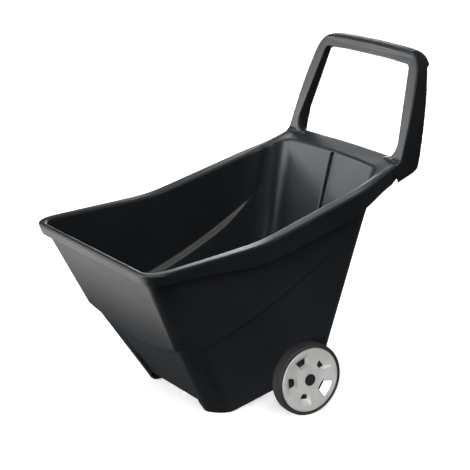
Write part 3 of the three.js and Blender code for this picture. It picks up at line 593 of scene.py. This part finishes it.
def axle_bosses():
    made = []
    for hand in (1, -1):
        root, tip = (WALL_X - BOSS["root"]) * hand, BOSS_END * hand
        radius = BOSS["radius"]
        profile = [(root, 0), (root, radius + BOSS["flare"]), (tip, radius), (tip, 0)]
        made.append(turned("boss", profile, 64, closed=False))
    return made


def axle_bore():
    radius = AXLE_R + GAP
    profile = [(-REACH, 0), (-REACH, radius), (REACH, radius), (REACH, 0)]
    return turned("bore", profile, 48, closed=False)


def back_groove(half, before, behind, low_z, high_z):
    def inside(z):
        return rear_wall_y(z) + rear_bow(z) - WALL

    loop = [(inside(low_z) - before, low_z), (inside(low_z) + behind, low_z)]
    loop += [(inside(high_z) + behind, high_z), (inside(high_z) - before, high_z)]
    return prism(loop, "x", -half, half)


def foot_pads():
    plan = [p[:2] for p in bottom_ring(FOOT["inset"], lambda x, y: 0.0, lambda x: 0.0, 0)]
    top, front_y, rear_y = FLOOR["height"] + FOOT["rise"], FOOT["block_front"], FOOT["rear_y"]
    inner, outer = FOOT["inner_x"] - FOOT["overlap"], SIDE["bottom_half"]
    made = []
    for hand in (1, -1):
        box = [(inner * hand, front_y), (outer * hand, front_y)]
        box += [(outer * hand, rear_y), (inner * hand, rear_y)]
        block = prism(box, "z", FOOT["block_low"], FOOT["block_high"])
        made.append(common(prism(plan, "z", 0, top), block))
    return made


# ------------------------------------------------------------------ handle
def front_face_y(z):
    return HANDLE["front_y"] + HANDLE["lean"] * (z - HANDLE["base_z"])


def rear_face_y(z):
    return HANDLE["rear_y"] + HANDLE["rear_lean"] * (z - HANDLE["rear_z"])


BAR_Y = front_face_y(BAR["z"]) + BAR["depth"] / 2
BEFORE, BEHIND = RIM["wing_y"] - PAST["view"], rear_face_y(TOP_Z) + PAST["view"]


def frame_outline(inset):
    """The handle seen from the front; inset shrinks it."""
    low_z = rail_height(RIM["wing_y"]) - skirt_depth(RIM["wing_y"]) - HANDLE["below"]
    outer, shoulder, top = RIM["rear_half"] - inset, HANDLE["shoulder_half"] - inset, TOP_Z - inset
    flat, arch, span = BAR["span"] - BAR["ease"], BAR["arch"], BAR["span"]
    start = (outer, HANDLE["base_z"] + HANDLE["join_rise"])
    low = (outer - HANDLE["swell_low"], HANDLE["swell_low_z"])
    high = (shoulder + HANDLE["swell_high"], HANDLE["swell_high_z"])
    bend = (shoulder, HANDLE["shoulder_z"])
    knuckle = (shoulder - HANDLE["shoulder_in"], top - HANDLE["shoulder_down"])
    half = [(outer, low_z), start] + cubic_curve(start, low, high, bend, 24)
    half += quad_curve(bend, knuckle, (flat, top - arch), 16)
    half += quad_curve((flat, top - arch), (span / 2, top), (0, top), 12)
    return mirrored(half)


def opening(grow):
    """The opening the hands go through, open at its foot; grow widens it."""
    low, high = HANDLE["open_low"] + grow, HANDLE["open_high"] + grow
    head, corner, arch, span = HANDLE["open_z"] + grow, HANDLE["open_round"], BAR["arch"], BAR["span"]
    half = [(low, HANDLE["base_z"] - HANDLE["open_below"])]
    half.append((low, HANDLE["base_z"] + HANDLE["fill"]))
    half.append((high + HANDLE["open_narrowing"], head - corner))
    half += quad_curve(half[-1], (high, head), (high - corner, head), 8)
    half += quad_curve(half[-1], (span / 2, head + arch), (0, head + arch), 12)
    return mirrored(half)


def opening_corners():
    """Rounded fillings where the opening meets the shelf, leaning as the uprights do."""
    low, fill, base = HANDLE["open_low"], HANDLE["fill"], HANDLE["base_z"] - FILL["sink"]
    side, under = low + FILL["side"], base - FILL["under"]
    made = []
    for hand in (1, -1):
        foot = (low - fill, base)
        loop = [foot] + quad_curve(foot, (low - FILL["toe"], base), (low, base + fill), 14)
        loop += [(side, base + fill), (side, under), (low - fill, under)]
        loop = [(x * hand, z) for x, z in loop]
        filling = prism(loop, "y", front_face_y(base), RIM["rear_y"] - FILL["short"])
        for vert in filling.data.vertices:
            vert.co.y += HANDLE["lean"] * (vert.co.z - base * 0.001)
        made.append(filling)
    return made


def bar_point(degrees, offset):
    """A point on the bar's rounded section, from its rear upwards."""
    angle = math.radians(degrees)
    c, s = math.cos(angle), math.sin(angle)
    a, b, power = BAR["depth"] / 2 + offset, BAR["height"] / 2 + offset, 2 / BAR["square"]
    y = BAR_Y + a * math.copysign(abs(c) ** power, c)
    return (y, BAR["z"] + b * math.copysign(abs(s) ** power, s))


def bar_arc(start, end, offset, count):
    return [bar_point(lerp(start, end, i / count), offset) for i in range(count + 1)]


def grip_band(inner, outer, extra):
    start, end = GRIP["start"] - extra, GRIP["end"] + extra
    return bar_arc(start, end, outer, 40) + bar_arc(end, start, inner, 40)


def handle_frame():
    legs_top, rear_y, rear_z, heel = BAR["z"], HANDLE["rear_y"], HANDLE["rear_z"], HANDLE["heel"]
    wing = RIM["wing_y"]
    profile = [
        (wing, rail_height(wing) - skirt_depth(wing)),
        (rear_y - heel, rear_z - heel),
        (rear_y - heel / 4, rear_z - heel / 2),
        (rear_y, rear_z),
        (rear_face_y(legs_top), legs_top),
        (front_face_y(legs_top), legs_top),
        (HANDLE["front_y"], HANDLE["base_z"]),
        (wing, HANDLE["base_z"] - HANDLE["wing_fall"]),
    ]
    near, far = wing - PAST["near"], BEHIND - PAST["far"]
    legs = common(prism(frame_outline(0), "y", near, far), prism(profile, "x", -REACH, REACH))
    section = bar_arc(0, 360, 0, 72)[:-1]
    tube = prism(section, "x", -REACH, REACH, 60, BAR["arch"])
    bar = common(tube, prism(frame_outline(-PAST["bar"]), "y", near, far))
    return [cut(part, prism(opening(0), "y", near, far)) for part in (legs, bar)]


def upright_hollows():
    """Hollows in the back of the uprights, between cross ribs."""
    shell, low_z, skin = HANDLE["shell"], HANDLE["base_z"] - PAST["low"], PAST["skin"]
    loop = [(front_face_y(z) + shell + skin, z) for z in (low_z, TOP_Z)]
    loop += [(BEHIND, TOP_Z), (BEHIND, low_z)]
    first, last = HANDLE["base_z"] + HANDLE["first_rib"], HANDLE["open_z"] - HANDLE["last_rib"]
    near, far = BEFORE - PAST["opening"], BEHIND + PAST["opening"]
    count = max(1, round((last - first) / HANDLE["rib_pitch"]))
    pitch = (last - first) / count
    cells = []
    for i in range(count):
        z = first + i * pitch
        low, high = z + shell / 2, z + pitch - shell / 2
        cell = prism(frame_outline(shell), "y", BEFORE, BEHIND)
        cut(cell, prism(opening(shell), "y", near, far))
        common(cell, prism(loop, "x", -REACH, REACH))
        band = [(BEFORE, low), (BEHIND, low), (BEHIND, high), (BEFORE, high)]
        cells.append(common(cell, prism(band, "x", -REACH, REACH)))
    return cells


def bar_hollow():
    shell, end = HANDLE["shell"], GRIP["half"] - BAR["end_wall"]
    core_y, core_low = bar_point(180, -shell)[0], bar_point(270, -shell)[1]
    core_high = bar_point(90, -shell - GRIP["thickness"])[1]
    core = [(core_y, core_low), (BEHIND, core_low), (BEHIND, core_high), (core_y, core_high)]
    return prism(core, "x", -end, end, 24, BAR["arch"])


def shelf_notch():
    shell = HANDLE["shell"]
    half, roof = RIM["rear_half"] - shell, HANDLE["base_z"] - shell
    return prism([(BEFORE, 0), (BEHIND, 0), (BEHIND, roof), (BEFORE, roof)], "x", -half, half)


def inner_wall_trim():
    """Makes the uprights' ribs and inner side walls shallower than their outer side walls."""
    low, high = HANDLE["base_z"] - HANDLE["shell"] - PAST["skin"], HANDLE["open_z"] - PAST["trim_top"]
    loop = [(front_face_y(low) + HANDLE["inner_low"], low)]
    loop.append((rear_face_y(low) + PAST["trim_low"], low))
    loop.append((rear_face_y(high) + PAST["trim_high"], high))
    loop.append((front_face_y(high) + HANDLE["inner_high"], high))
    outline = frame_outline(HANDLE["shell"] - PAST["seam"])
    inner = prism(outline, "y", BEFORE - PAST["trim"], BEHIND + PAST["trim"])
    return common(inner, prism(loop, "x", -REACH, REACH))


def grip_seat():
    end = GRIP["half"] + GAP
    band = grip_band(-GRIP["thickness"] - GAP, PAST["seat"], PAST["seat_angle"])
    return prism(band, "x", -end, end, 40, BAR["arch"])


def merge(base, *others):
    """Puts other meshes into the base's own; they may overlap until they are moulded."""
    made = bmesh.new()
    for obj in (base, *others):
        made.from_mesh(obj.data)
    made.to_mesh(base.data)
    made.free()
    for obj in others:
        drop(obj)
    return base


def cart_body():
    legs, bar = handle_frame()
    cut(legs, shelf_notch(), inner_wall_trim(), *upright_hollows(), grip_seat(), bar_hollow())
    cut(bar, grip_seat(), bar_hollow())
    behind = GROOVE["depth"] + WALL
    rib_top = REAR["top_z"] - WALL
    rib_low = GROOVE["low_z"] - GROOVE["rib_foot"]
    rib = back_groove(GROOVE["rib"] / 2, -GROOVE["rib_bite"], behind, rib_low, rib_top)
    tub = unite(tub_shell(), axle_tunnel(), *axle_bosses(), rib)
    half, reach, top = GROOVE["width"] / 2, GROOVE["reach_in"], REAR["top_z"] - GROOVE["below_top"]
    channel = back_groove(half, reach, GROOVE["depth"], GROOVE["low_z"], top)
    cut(tub, *tunnel_bays(), axle_bore(), channel)
    body = merge(tub, legs, bar, *opening_corners(), *foot_pads())
    body.name = "moulded_body"
    return mould(body, VOXEL, BODY_SOFTENING)


# ------------------------------------------------------------------ grip and wheel pieces
def raised_dashes(x, degrees):
    """How far the grip's skin stands up here: staggered rows of short rounded dashes."""
    across = math.radians(degrees - DASH["start"]) * BAR["depth"] / 2 / DASH["row"]
    row = math.floor(across)
    if not 0 <= row < DASH["rows"] or abs(x) > GRIP["half"] - DASH["margin"]:
        return 0.0
    along = x / DASH["pitch"] + 0.5 * (row % 2)
    u = abs(along - math.floor(along) - 0.5) * DASH["pitch"] / (DASH["length"] / 2)
    v = abs(across - row - 0.5) * DASH["row"] / (DASH["width"] / 2)
    return DASH["rise"] * (1 - smooth(math.hypot(max(0.0, u - 0.6) / 0.4, v), 0.55, 1.0))


def handle_grip():
    """The textured cover over the bar: a bent sheet with rounded ends and edges."""
    start, end, half = GRIP["start"], GRIP["end"], GRIP["half"]
    along, around = GRIP_CELLS
    top, low = GRIP["proud"] - DASH["rise"], -GRIP["thickness"]
    points = []
    for i in range(along + 1):
        x = lerp(-half, half, i / along)
        end_fall = smooth((half - abs(x)) / GRIP["fall_length"], 0, 1)
        bend = BAR["arch"] * (x / BAR["span"]) ** 2
        outer, inner = [], []
        for j in range(around + 1):
            degrees = lerp(start, end, j / around)
            edge_fall = smooth(min(degrees - start, end - degrees) / GRIP["fall_angle"], 0, 1)
            skin = lerp(-GRIP["fall"], top, min(end_fall, edge_fall))
            lift = skin + raised_dashes(x, degrees)
            y, z = bar_point(degrees, lift)
            outer.append((x, y, z - bend))
            y, z = bar_point(degrees, low)
            inner.append((x, y, z - bend))
        points += outer + inner[::-1]
    count = 2 * (around + 1)
    faces = [tuple(range(count)), tuple(range(along * count, (along + 1) * count))]
    for i in range(along):
        for j in range(count):
            a, b = i * count + j, i * count + (j + 1) % count
            faces.append((a, b, b + count, a + count))
    made = new_object("textured_grip", points, faces)
    rear_y = bar_point(0, 1 - GRIP["thickness"])[0]
    middle_z, clip_half = BAR["z"] - GRIP["clip_drop"], GRIP["clip_half"]
    nose = GRIP["clip_nose"]
    for hand in (1, -1):
        middle = hand * half * GRIP["clip_at"]
        y0, y1, z0, z1 = rear_y - GRIP["clip"], rear_y, middle_z - clip_half, middle_z + clip_half
        leg = [(y0, z0 + nose), (y0 + nose, z0), (y1, z0), (y1, z1), (y0 + nose, z1), (y0, z1 - nose)]
        merge(made, prism(leg, "x", middle - clip_half, middle + clip_half))
    return made


def other_side(obj, name):
    """A copy of a left-hand wheel piece, turned round to the right-hand side."""
    mesh = obj.data.copy()
    mesh.transform(Matrix.Translation((0, 2 * AXLE_Y, 0)) @ Matrix.Rotation(math.pi, 4, "Z"))
    made = bpy.data.objects.new(name, mesh)
    bpy.context.scene.collection.objects.link(made)
    return made


def tyre(name):
    """Rubber ring with round shoulders and shallow grooves round its tread."""
    radius, inner, outer = WHEEL["radius"], WHEEL["inner_x"], WHEEL["outer_x"]
    bead, seat = WHEEL["bead_radius"], WHEEL["cover_radius"] + GAP
    core_x, shoulder, crown = WHEEL["core_x"], WHEEL["shoulder"], WHEEL["crown"]
    bead_round = WHEEL["bead_round"]
    tread, steps, edge = [], 12, shoulder * WHEEL["outer_shoulder"]
    for i in range(steps + 1):
        turn = i / steps * math.pi / 2
        rise = shoulder * (1 - math.sin(turn))
        tread.append((inner + shoulder * (1 - math.cos(turn)), radius - crown - rise))
    left, right = inner + shoulder, outer - edge
    for i in range(1, 40):
        t = i / 40
        x = lerp(left, right, t)
        fall = crown * (2 * t - 1) ** 2
        groove = TREAD["groove"] * sum(
            1 - smooth(abs(t - at) * (right - left) / TREAD["groove_half"], 0.4, 1.0)
            for at in TREAD["at"]
        )
        tread.append((x, radius - fall - groove))
    for i in range(steps, -1, -1):
        turn = i / steps * math.pi / 2
        rise = edge * (1 - math.sin(turn))
        tread.append((outer - edge * (1 - math.cos(turn)), radius - crown - rise))
    line, half_line, nick = WHEEL["line"], WHEEL["line_half"], WHEEL["line_depth"]
    wall = [(outer, seat + line + half_line), (outer - nick, seat + line)]
    wall += [(outer, seat + line - half_line), (outer - WHEEL["seat_bevel"], seat)]
    profile = [(inner + bead_round, bead), (inner, bead + bead_round)] + tread + wall
    profile += [(core_x, seat), (core_x, bead)]
    made = turned(name, profile, TYRE_SEGMENTS)
    made.data.shade_smooth()
    return made


def cover_x(radius):
    t = min(1.0, radius / WHEEL["cover_radius"])
    return WHEEL["outer_x"] - COVER["dish"] * math.sin(math.pi * t) ** 2


def window(from_depth, to_depth, grow):
    """A tapered block through one window of the cover, with rounded corners."""
    rings, front, back = [], COVER["front"], COVER["back"]
    for depth in (from_depth, to_depth):
        t = depth / COVER["pocket"]
        inner, outer, half_inner, half_outer = (lerp(a, b, t) for a, b in zip(front, back))
        inner, outer = inner - grow, outer + grow
        half_inner, half_outer = half_inner + grow, half_outer + grow
        arch = outer * (1 - math.cos(math.asin(half_outer / outer)))
        top = [(half_outer * (1 - k / 4), arch * (1 - (1 - k / 4) ** 2)) for k in range(9)]
        loop = [(-half_inner, inner), (half_inner, inner)]
        loop += [(a, outer - arch * COVER["arch"] + b * COVER["arch"]) for a, b in top]
        corner = COVER["corner"] + grow / 2
        loop = [p if 2 < i < len(loop) - 1 else (*p, corner) for i, p in enumerate(loop)]
        loop = rounded([p if len(p) > 2 else (*p, 0) for p in loop], 0, 5)
        x = WHEEL["outer_x"] - COVER["face"] - depth
        rings.append([(x, a, b) for a, b in loop])
    count = len(rings[0])
    points = rings[0] + rings[1]
    faces = [tuple(range(count)), tuple(range(count, 2 * count))]
    faces += [(i, (i + 1) % count, (i + 1) % count + count, i + count) for i in range(count)]
    return points, faces


def windows(from_depth, to_depth, grow):
    """All five window blocks as one mesh; they stand clear of each other."""
    points, faces = [], []
    block, sides = window(from_depth, to_depth, grow)
    for i in range(COVER["windows"]):
        angle = math.radians(COVER["clock"] + i * 360 / COVER["windows"])
        c, s = math.cos(angle), math.sin(angle)
        base = len(points)
        points += [(x, y * c - z * s, y * s + z * c + AXLE_Z) for x, y, z in block]
        faces += [tuple(base + k for k in side) for side in sides]
    return new_object("windows", points, faces)


def wheel_cover(name):
    radius, lip, thickness = WHEEL["cover_radius"], COVER["lip"], COVER["thickness"]
    flat, back_x = radius - lip, WHEEL["core_x"] + GAP
    outer_x = WHEEL["outer_x"]
    radii = [lerp(COVER["hole"], flat, i / 24) for i in range(25)]
    face = [(cover_x(r), r) for r in radii]
    proud, bevel, drop_back = COVER["proud"], COVER["edge_round"], COVER["edge_drop"]
    ridge = [(outer_x + proud, flat + COVER["ridge_from"])]
    ridge.append((outer_x + proud * COVER["ridge_fall"], flat + COVER["ridge_to"]))
    outside = [(outer_x, radius - bevel), (outer_x - drop_back, radius)]
    outside += [(back_x, radius), (back_x, flat)]
    back = [(x - thickness, r) for x, r in reversed(face)]
    disc = turned(name, face + ridge + outside + back, 180)
    deep, before, beyond = COVER["pocket"], COVER["before"], COVER["beyond"]
    unite(disc, windows(COVER["pocket_from"], deep, thickness))
    cut(disc, windows(-before, deep + beyond, 0))
    return mould(disc, COVER_VOXEL, COVER_SOFTENING)


def hub_cap(name):
    """Black button with a domed face and a fine moulding dimple in its middle."""
    seat_x, radius, skin = cover_x(COVER["hole"]) - CAP["sunk"], CAP["radius"], CAP["skin"]
    collar, inside, inside_x = radius - CAP["step"], radius - skin, CAP["inside_x"]
    neck, spigot_x, tip = (seat_x + CAP["neck"], collar), seat_x - CAP["spigot"], inside_x + skin
    brim = [neck, (seat_x + CAP["brim"], radius)]
    brim.append((inside_x + CAP["brim_back"], radius - CAP["brim_in"]))
    profile = [(spigot_x, inside), (spigot_x, collar), neck]
    profile += rounded(brim, CAP["brim_round"], 4, closed=False)[1:]
    profile += [(tip - back, radius * part) for back, part in CAP["dome"]]
    profile += [(tip - back, r) for back, r in CAP["dimple"]]
    profile += [(inside_x - CAP["middle_back"], 0)]
    profile += [(inside_x - CAP["inner_back"], inside - CAP["inner_in"]), (seat_x, inside)]
    made = weld(turned(name, profile, 96))
    made.data.shade_smooth()
    made.data.set_sharp_from_angle(angle=math.radians(CAP["crease"]))
    return made


def dress(obj, body_name, slot, *hidden):
    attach(obj, body_name)
    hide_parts(*hidden)


body = cart_body()
grip = handle_grip()
grip.data.shade_smooth()
grip.data.set_sharp_from_angle(angle=math.radians(GRIP["crease"]))
dress(body, "cart", "body", "cart_body")
dress(grip, "cart", "grip", "handle_grip")
shaped = {"body": [body], "grip": [grip], "tyre": [], "silver": [], "core": []}
for kind, slot, make in (
    ("tyre", "tyre", tyre),
    ("wheel_cover", "silver", wheel_cover),
    ("hub_cap", "core", hub_cap),
):
    left = make(f"round_{kind}_left")
    right = other_side(left, f"round_{kind}_right")
    for piece, side in ((left, "left"), (right, "right")):
        dress(piece, f"{side}_wheel", slot, f"{kind}_{side}")
        shaped[slot].append(piece)

# ------------------------------------------------------------------ materials
CLOUD_RANGE, SMEAR_RANGE = (0.35, 0.65), (0.3, 0.7)  # the part of a noise that is stretched out
CLOUD_DETAIL, FINE_DETAIL = 4, 3


def worn_material(name, look):
    """A surface with cloudy colour, fine grain, a painted highlight on sharp edges and uneven gloss.
    """
    mat = bpy.data.materials.new(name)
    mat.use_nodes = True
    nodes, links = mat.node_tree.nodes, mat.node_tree.links
    shader = nodes["Principled BSDF"]
    where = nodes.new("ShaderNodeTexCoord")

    def noise(scale, detail):
        made = nodes.new("ShaderNodeTexNoise")
        made.inputs["Scale"].default_value = scale
        made.inputs["Detail"].default_value = detail
        links.new(where.outputs["Object"], made.inputs["Vector"])
        return made.outputs["Fac"]

    def blend(factor, first, second):
        made = nodes.new("ShaderNodeMix")
        made.data_type = "RGBA"
        links.new(factor, made.inputs["Factor"])
        for key, value in (("A", first), ("B", second)):
            if isinstance(value, tuple):
                made.inputs[key].default_value = (*value, 1)
            else:
                links.new(value, made.inputs[key])
        return made.outputs["Result"]

    def remap(source, from_low, from_high, to_low, to_high):
        made = nodes.new("ShaderNodeMapRange")
        links.new(source, made.inputs["Value"])
        limits = {"From Min": from_low, "From Max": from_high, "To Min": to_low, "To Max": to_high}
        for key, value in limits.items():
            made.inputs[key].default_value = value
        return made.outputs["Result"]

    cloud = remap(noise(look["cloud"], CLOUD_DETAIL), *CLOUD_RANGE, 0.0, 1.0)
    # Pointiness lightens sharp convex edges: a painted highlight standing in for light caught on rims
    # and edges.
    geometry = nodes.new("ShaderNodeNewGeometry")
    edges = remap(geometry.outputs["Pointiness"], *look["edge_range"], 0.0, look["edge_wear"])
    tint = blend(cloud, look["dark"], look["light"])
    links.new(blend(edges, tint, look["worn"]), shader.inputs["Base Color"])
    smears = noise(look["smear"], FINE_DETAIL)
    links.new(remap(smears, *SMEAR_RANGE, *look["rough"]), shader.inputs["Roughness"])
    bump = nodes.new("ShaderNodeBump")
    bump.inputs["Strength"].default_value = look["grain_strength"]
    bump.inputs["Distance"].default_value = look["grain_depth"]
    links.new(noise(look["grain"], FINE_DETAIL), bump.inputs["Height"])
    links.new(bump.outputs["Normal"], shader.inputs["Normal"])
    shader.inputs["Metallic"].default_value = look["metallic"]
    shader.inputs["Specular IOR Level"].default_value = look["gloss"]
    return mat


PLAIN = dict(cloud=9, smear=6, grain=520, grain_strength=0.35, grain_depth=0.0002, metallic=0.0)
# edge_range and the strength after it set where and how much sharp edges get the painted highlight
PLAIN.update(edge_range=(0.52, 0.6), edge_wear=0.35, gloss=0.5, rough=(0.42, 0.5))
LOOKS = {
    "body": dict(PLAIN, dark=(0.0105, 0.0125, 0.0150), light=(0.0135, 0.0160, 0.0190)),
    "grip": dict(PLAIN, dark=(0.012, 0.013, 0.015), light=(0.017, 0.018, 0.020)),
    "tyre": dict(PLAIN, dark=(0.014, 0.012, 0.0125), light=(0.022, 0.018, 0.019)),
    "core": dict(PLAIN, dark=(0.006, 0.006, 0.007), light=(0.009, 0.009, 0.010)),
    "silver": dict(PLAIN, dark=(0.60, 0.595, 0.575), light=(0.68, 0.675, 0.655)),
    "steel": dict(PLAIN, dark=(0.48, 0.49, 0.50), light=(0.60, 0.61, 0.62)),
    "nylon": dict(PLAIN, dark=(0.70, 0.68, 0.61), light=(0.78, 0.76, 0.69)),
}
# each update's first colour is the painted highlight that sharp edges are lightened towards
LOOKS["body"].update(worn=(0.034, 0.038, 0.044), gloss=0.34, rough=(0.36, 0.43))
LOOKS["grip"].update(worn=(0.04, 0.042, 0.046), rough=(0.55, 0.68), grain=900)
LOOKS["tyre"].update(worn=(0.075, 0.066, 0.068), rough=(0.62, 0.78), grain=380)
LOOKS["core"].update(worn=(0.02, 0.02, 0.022), rough=(0.35, 0.45))
LOOKS["silver"].update(worn=(0.8, 0.79, 0.77), rough=(0.28, 0.38), metallic=0.35, grain=700)
LOOKS["steel"].update(worn=(0.75, 0.76, 0.77), rough=(0.25, 0.4), metallic=1.0)
LOOKS["nylon"].update(worn=(0.86, 0.85, 0.8), rough=(0.4, 0.5))
finish = {slot: worn_material(f"{slot}_finish", look) for slot, look in LOOKS.items()}


def paint(obj, slot):
    obj.data.materials.clear()
    obj.data.materials.append(finish[slot])


for slot, pieces in shaped.items():
    for piece in pieces:
        paint(piece, slot)
for name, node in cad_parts.items():
    if name.startswith(("axle_spacer", "hub_bush")):
        paint(node, "nylon")
    elif name.startswith(("axle", "inner_washer", "outer_washer", "push_nut")):
        paint(node, "steel")
    elif name.startswith("wheel_core"):
        paint(node, "core")

# ------------------------------------------------------------------ stage, light and camera
STAGE = dict(half=30, paper=0.93, rough=0.9, glow=0.58)
WORLD = dict(tint=(0.95, 0.97, 1), strength=0.1)
CAMERA = dict(azimuth=57.29, elevation=16.0, ahead=0.0289, height=0.3882, distance=4.0208)
CAMERA.update(lens=123.72, sensor=36, near=0.1, far=100)
SUN = dict(direction=(-0.35, -0.3, 1), strength=1.9, spread=40)
COOL, COOLER, WARM = (0.97, 0.98, 1.0), (0.96, 0.98, 1.0), (1.0, 0.98, 0.95)


def floor_sheet():
    """A pale sheet with a weak glow of its own, which sheds no light on the cart."""
    half, grey = STAGE["half"], STAGE["paper"]
    mesh = bpy.data.meshes.new("floor")
    corners = [(-half, -half, 0), (half, -half, 0), (half, half, 0), (-half, half, 0)]
    mesh.from_pydata(corners, [], [(0, 1, 2, 3)])
    obj = bpy.data.objects.new("floor", mesh)
    bpy.context.scene.collection.objects.link(obj)
    paper = bpy.data.materials.new("floor_paper")
    paper.use_nodes = True
    sockets = paper.node_tree.nodes["Principled BSDF"].inputs
    sockets["Roughness"].default_value = STAGE["rough"]
    sockets["Base Color"].default_value = (grey, grey, grey, 1)
    sockets["Emission Color"].default_value = (1, 1, 1, 1)
    sockets["Emission Strength"].default_value = STAGE["glow"]
    mesh.materials.append(paper)
    obj.visible_diffuse = False
    obj.visible_glossy = False
    return obj


floor_sheet()


def area_light(name, place, aim, size, watts, colour=(1, 1, 1), spread=180):
    """A rectangular light at a place, turned to an aim; the spread is in degrees."""
    data = bpy.data.lights.new(name, "AREA")
    data.shape = "RECTANGLE"
    data.size, data.size_y = size
    data.spread = math.radians(spread)
    data.energy = watts
    data.color = colour
    obj = bpy.data.objects.new(name, data)
    obj.location = place
    obj.rotation_mode = "QUATERNION"
    obj.rotation_quaternion = (Vector(aim) - Vector(place)).to_track_quat("-Z", "Y")
    obj.visible_camera = False
    bpy.context.scene.collection.objects.link(obj)


def soft_sun(name, direction, strength, spread):
    """Light from one side of the studio, far enough away to be even over the floor."""
    data = bpy.data.lights.new(name, "SUN")
    data.energy = strength
    data.angle = math.radians(spread)
    obj = bpy.data.objects.new(name, data)
    obj.rotation_mode = "QUATERNION"
    obj.rotation_quaternion = (-Vector(direction)).to_track_quat("-Z", "Y")
    bpy.context.scene.collection.objects.link(obj)


soft_sun("top_light", **SUN)
area_light(
    "wheel_light",
    place=(2.4, -2.0, 1.0),
    aim=(0.29, 0.02, 0.1),
    size=(0.3, 0.3),
    watts=0.5,
    spread=12,
)
area_light(
    "front_light",
    place=(-1.4, -3.4, 0.9),
    aim=(0, 0, 0.4),
    size=(1.6, 1.6),
    watts=105,
    colour=COOL,
)
area_light(
    "left_card",
    place=(-2.7, -1.8, 1.1),
    aim=(0, 0.32, 0.7),
    size=(0.9, 0.9),
    watts=3.6,
    spread=60,
)
area_light(
    "fill_light",
    place=(2.6, -0.8, 3.0),
    aim=(-0.1, -0.1, 0.4),
    size=(1.6, 1.6),
    watts=62,
)
area_light(
    "low_card",
    place=(-0.65, -0.78, 0.01),
    aim=(-0.65, -0.77, 1),
    size=(1.5, 0.7),
    watts=7.0,
    colour=WARM,
)
area_light(
    "rim_light",
    place=(-3.0, 2.2, 1.5),
    aim=(0, 0, 0.5),
    size=(1.4, 1.0),
    watts=42,
    colour=COOLER,
)

world = bpy.data.worlds.new("studio")
bpy.context.scene.world = world
world.use_nodes = True
nodes, links = world.node_tree.nodes, world.node_tree.links
dim = nodes["Background"]
dim.inputs["Color"].default_value = (*WORLD["tint"], 1)
dim.inputs["Strength"].default_value = WORLD["strength"]
bright = nodes.new("ShaderNodeBackground")
bright.inputs["Color"].default_value = (1, 1, 1, 1)
seen = nodes.new("ShaderNodeLightPath")
pick = nodes.new("ShaderNodeMixShader")
links.new(seen.outputs["Is Camera Ray"], pick.inputs["Fac"])
links.new(dim.outputs["Background"], pick.inputs[1])
links.new(bright.outputs["Background"], pick.inputs[2])
links.new(pick.outputs["Shader"], nodes["World Output"].inputs["Surface"])

AZIMUTH, ELEVATION = math.radians(CAMERA["azimuth"]), math.radians(CAMERA["elevation"])
towards = Vector(
    (
        math.sin(AZIMUTH) * math.cos(ELEVATION),
        -math.cos(AZIMUTH) * math.cos(ELEVATION),
        math.sin(ELEVATION),
    )
)
aim = Vector((0, AXLE_Y - CAMERA["ahead"], CAMERA["height"]))
lens = bpy.data.cameras.new("camera")
lens.lens, lens.sensor_width = CAMERA["lens"], CAMERA["sensor"]
lens.clip_start, lens.clip_end = CAMERA["near"], CAMERA["far"]
camera = bpy.data.objects.new("camera", lens)
camera.location = aim + towards * CAMERA["distance"]
camera.rotation_mode = "QUATERNION"
camera.rotation_quaternion = (-towards).to_track_quat("-Z", "Y")
bpy.context.scene.collection.objects.link(camera)
bpy.context.scene.camera = camera
bpy.context.scene.view_settings.view_transform = "Standard"
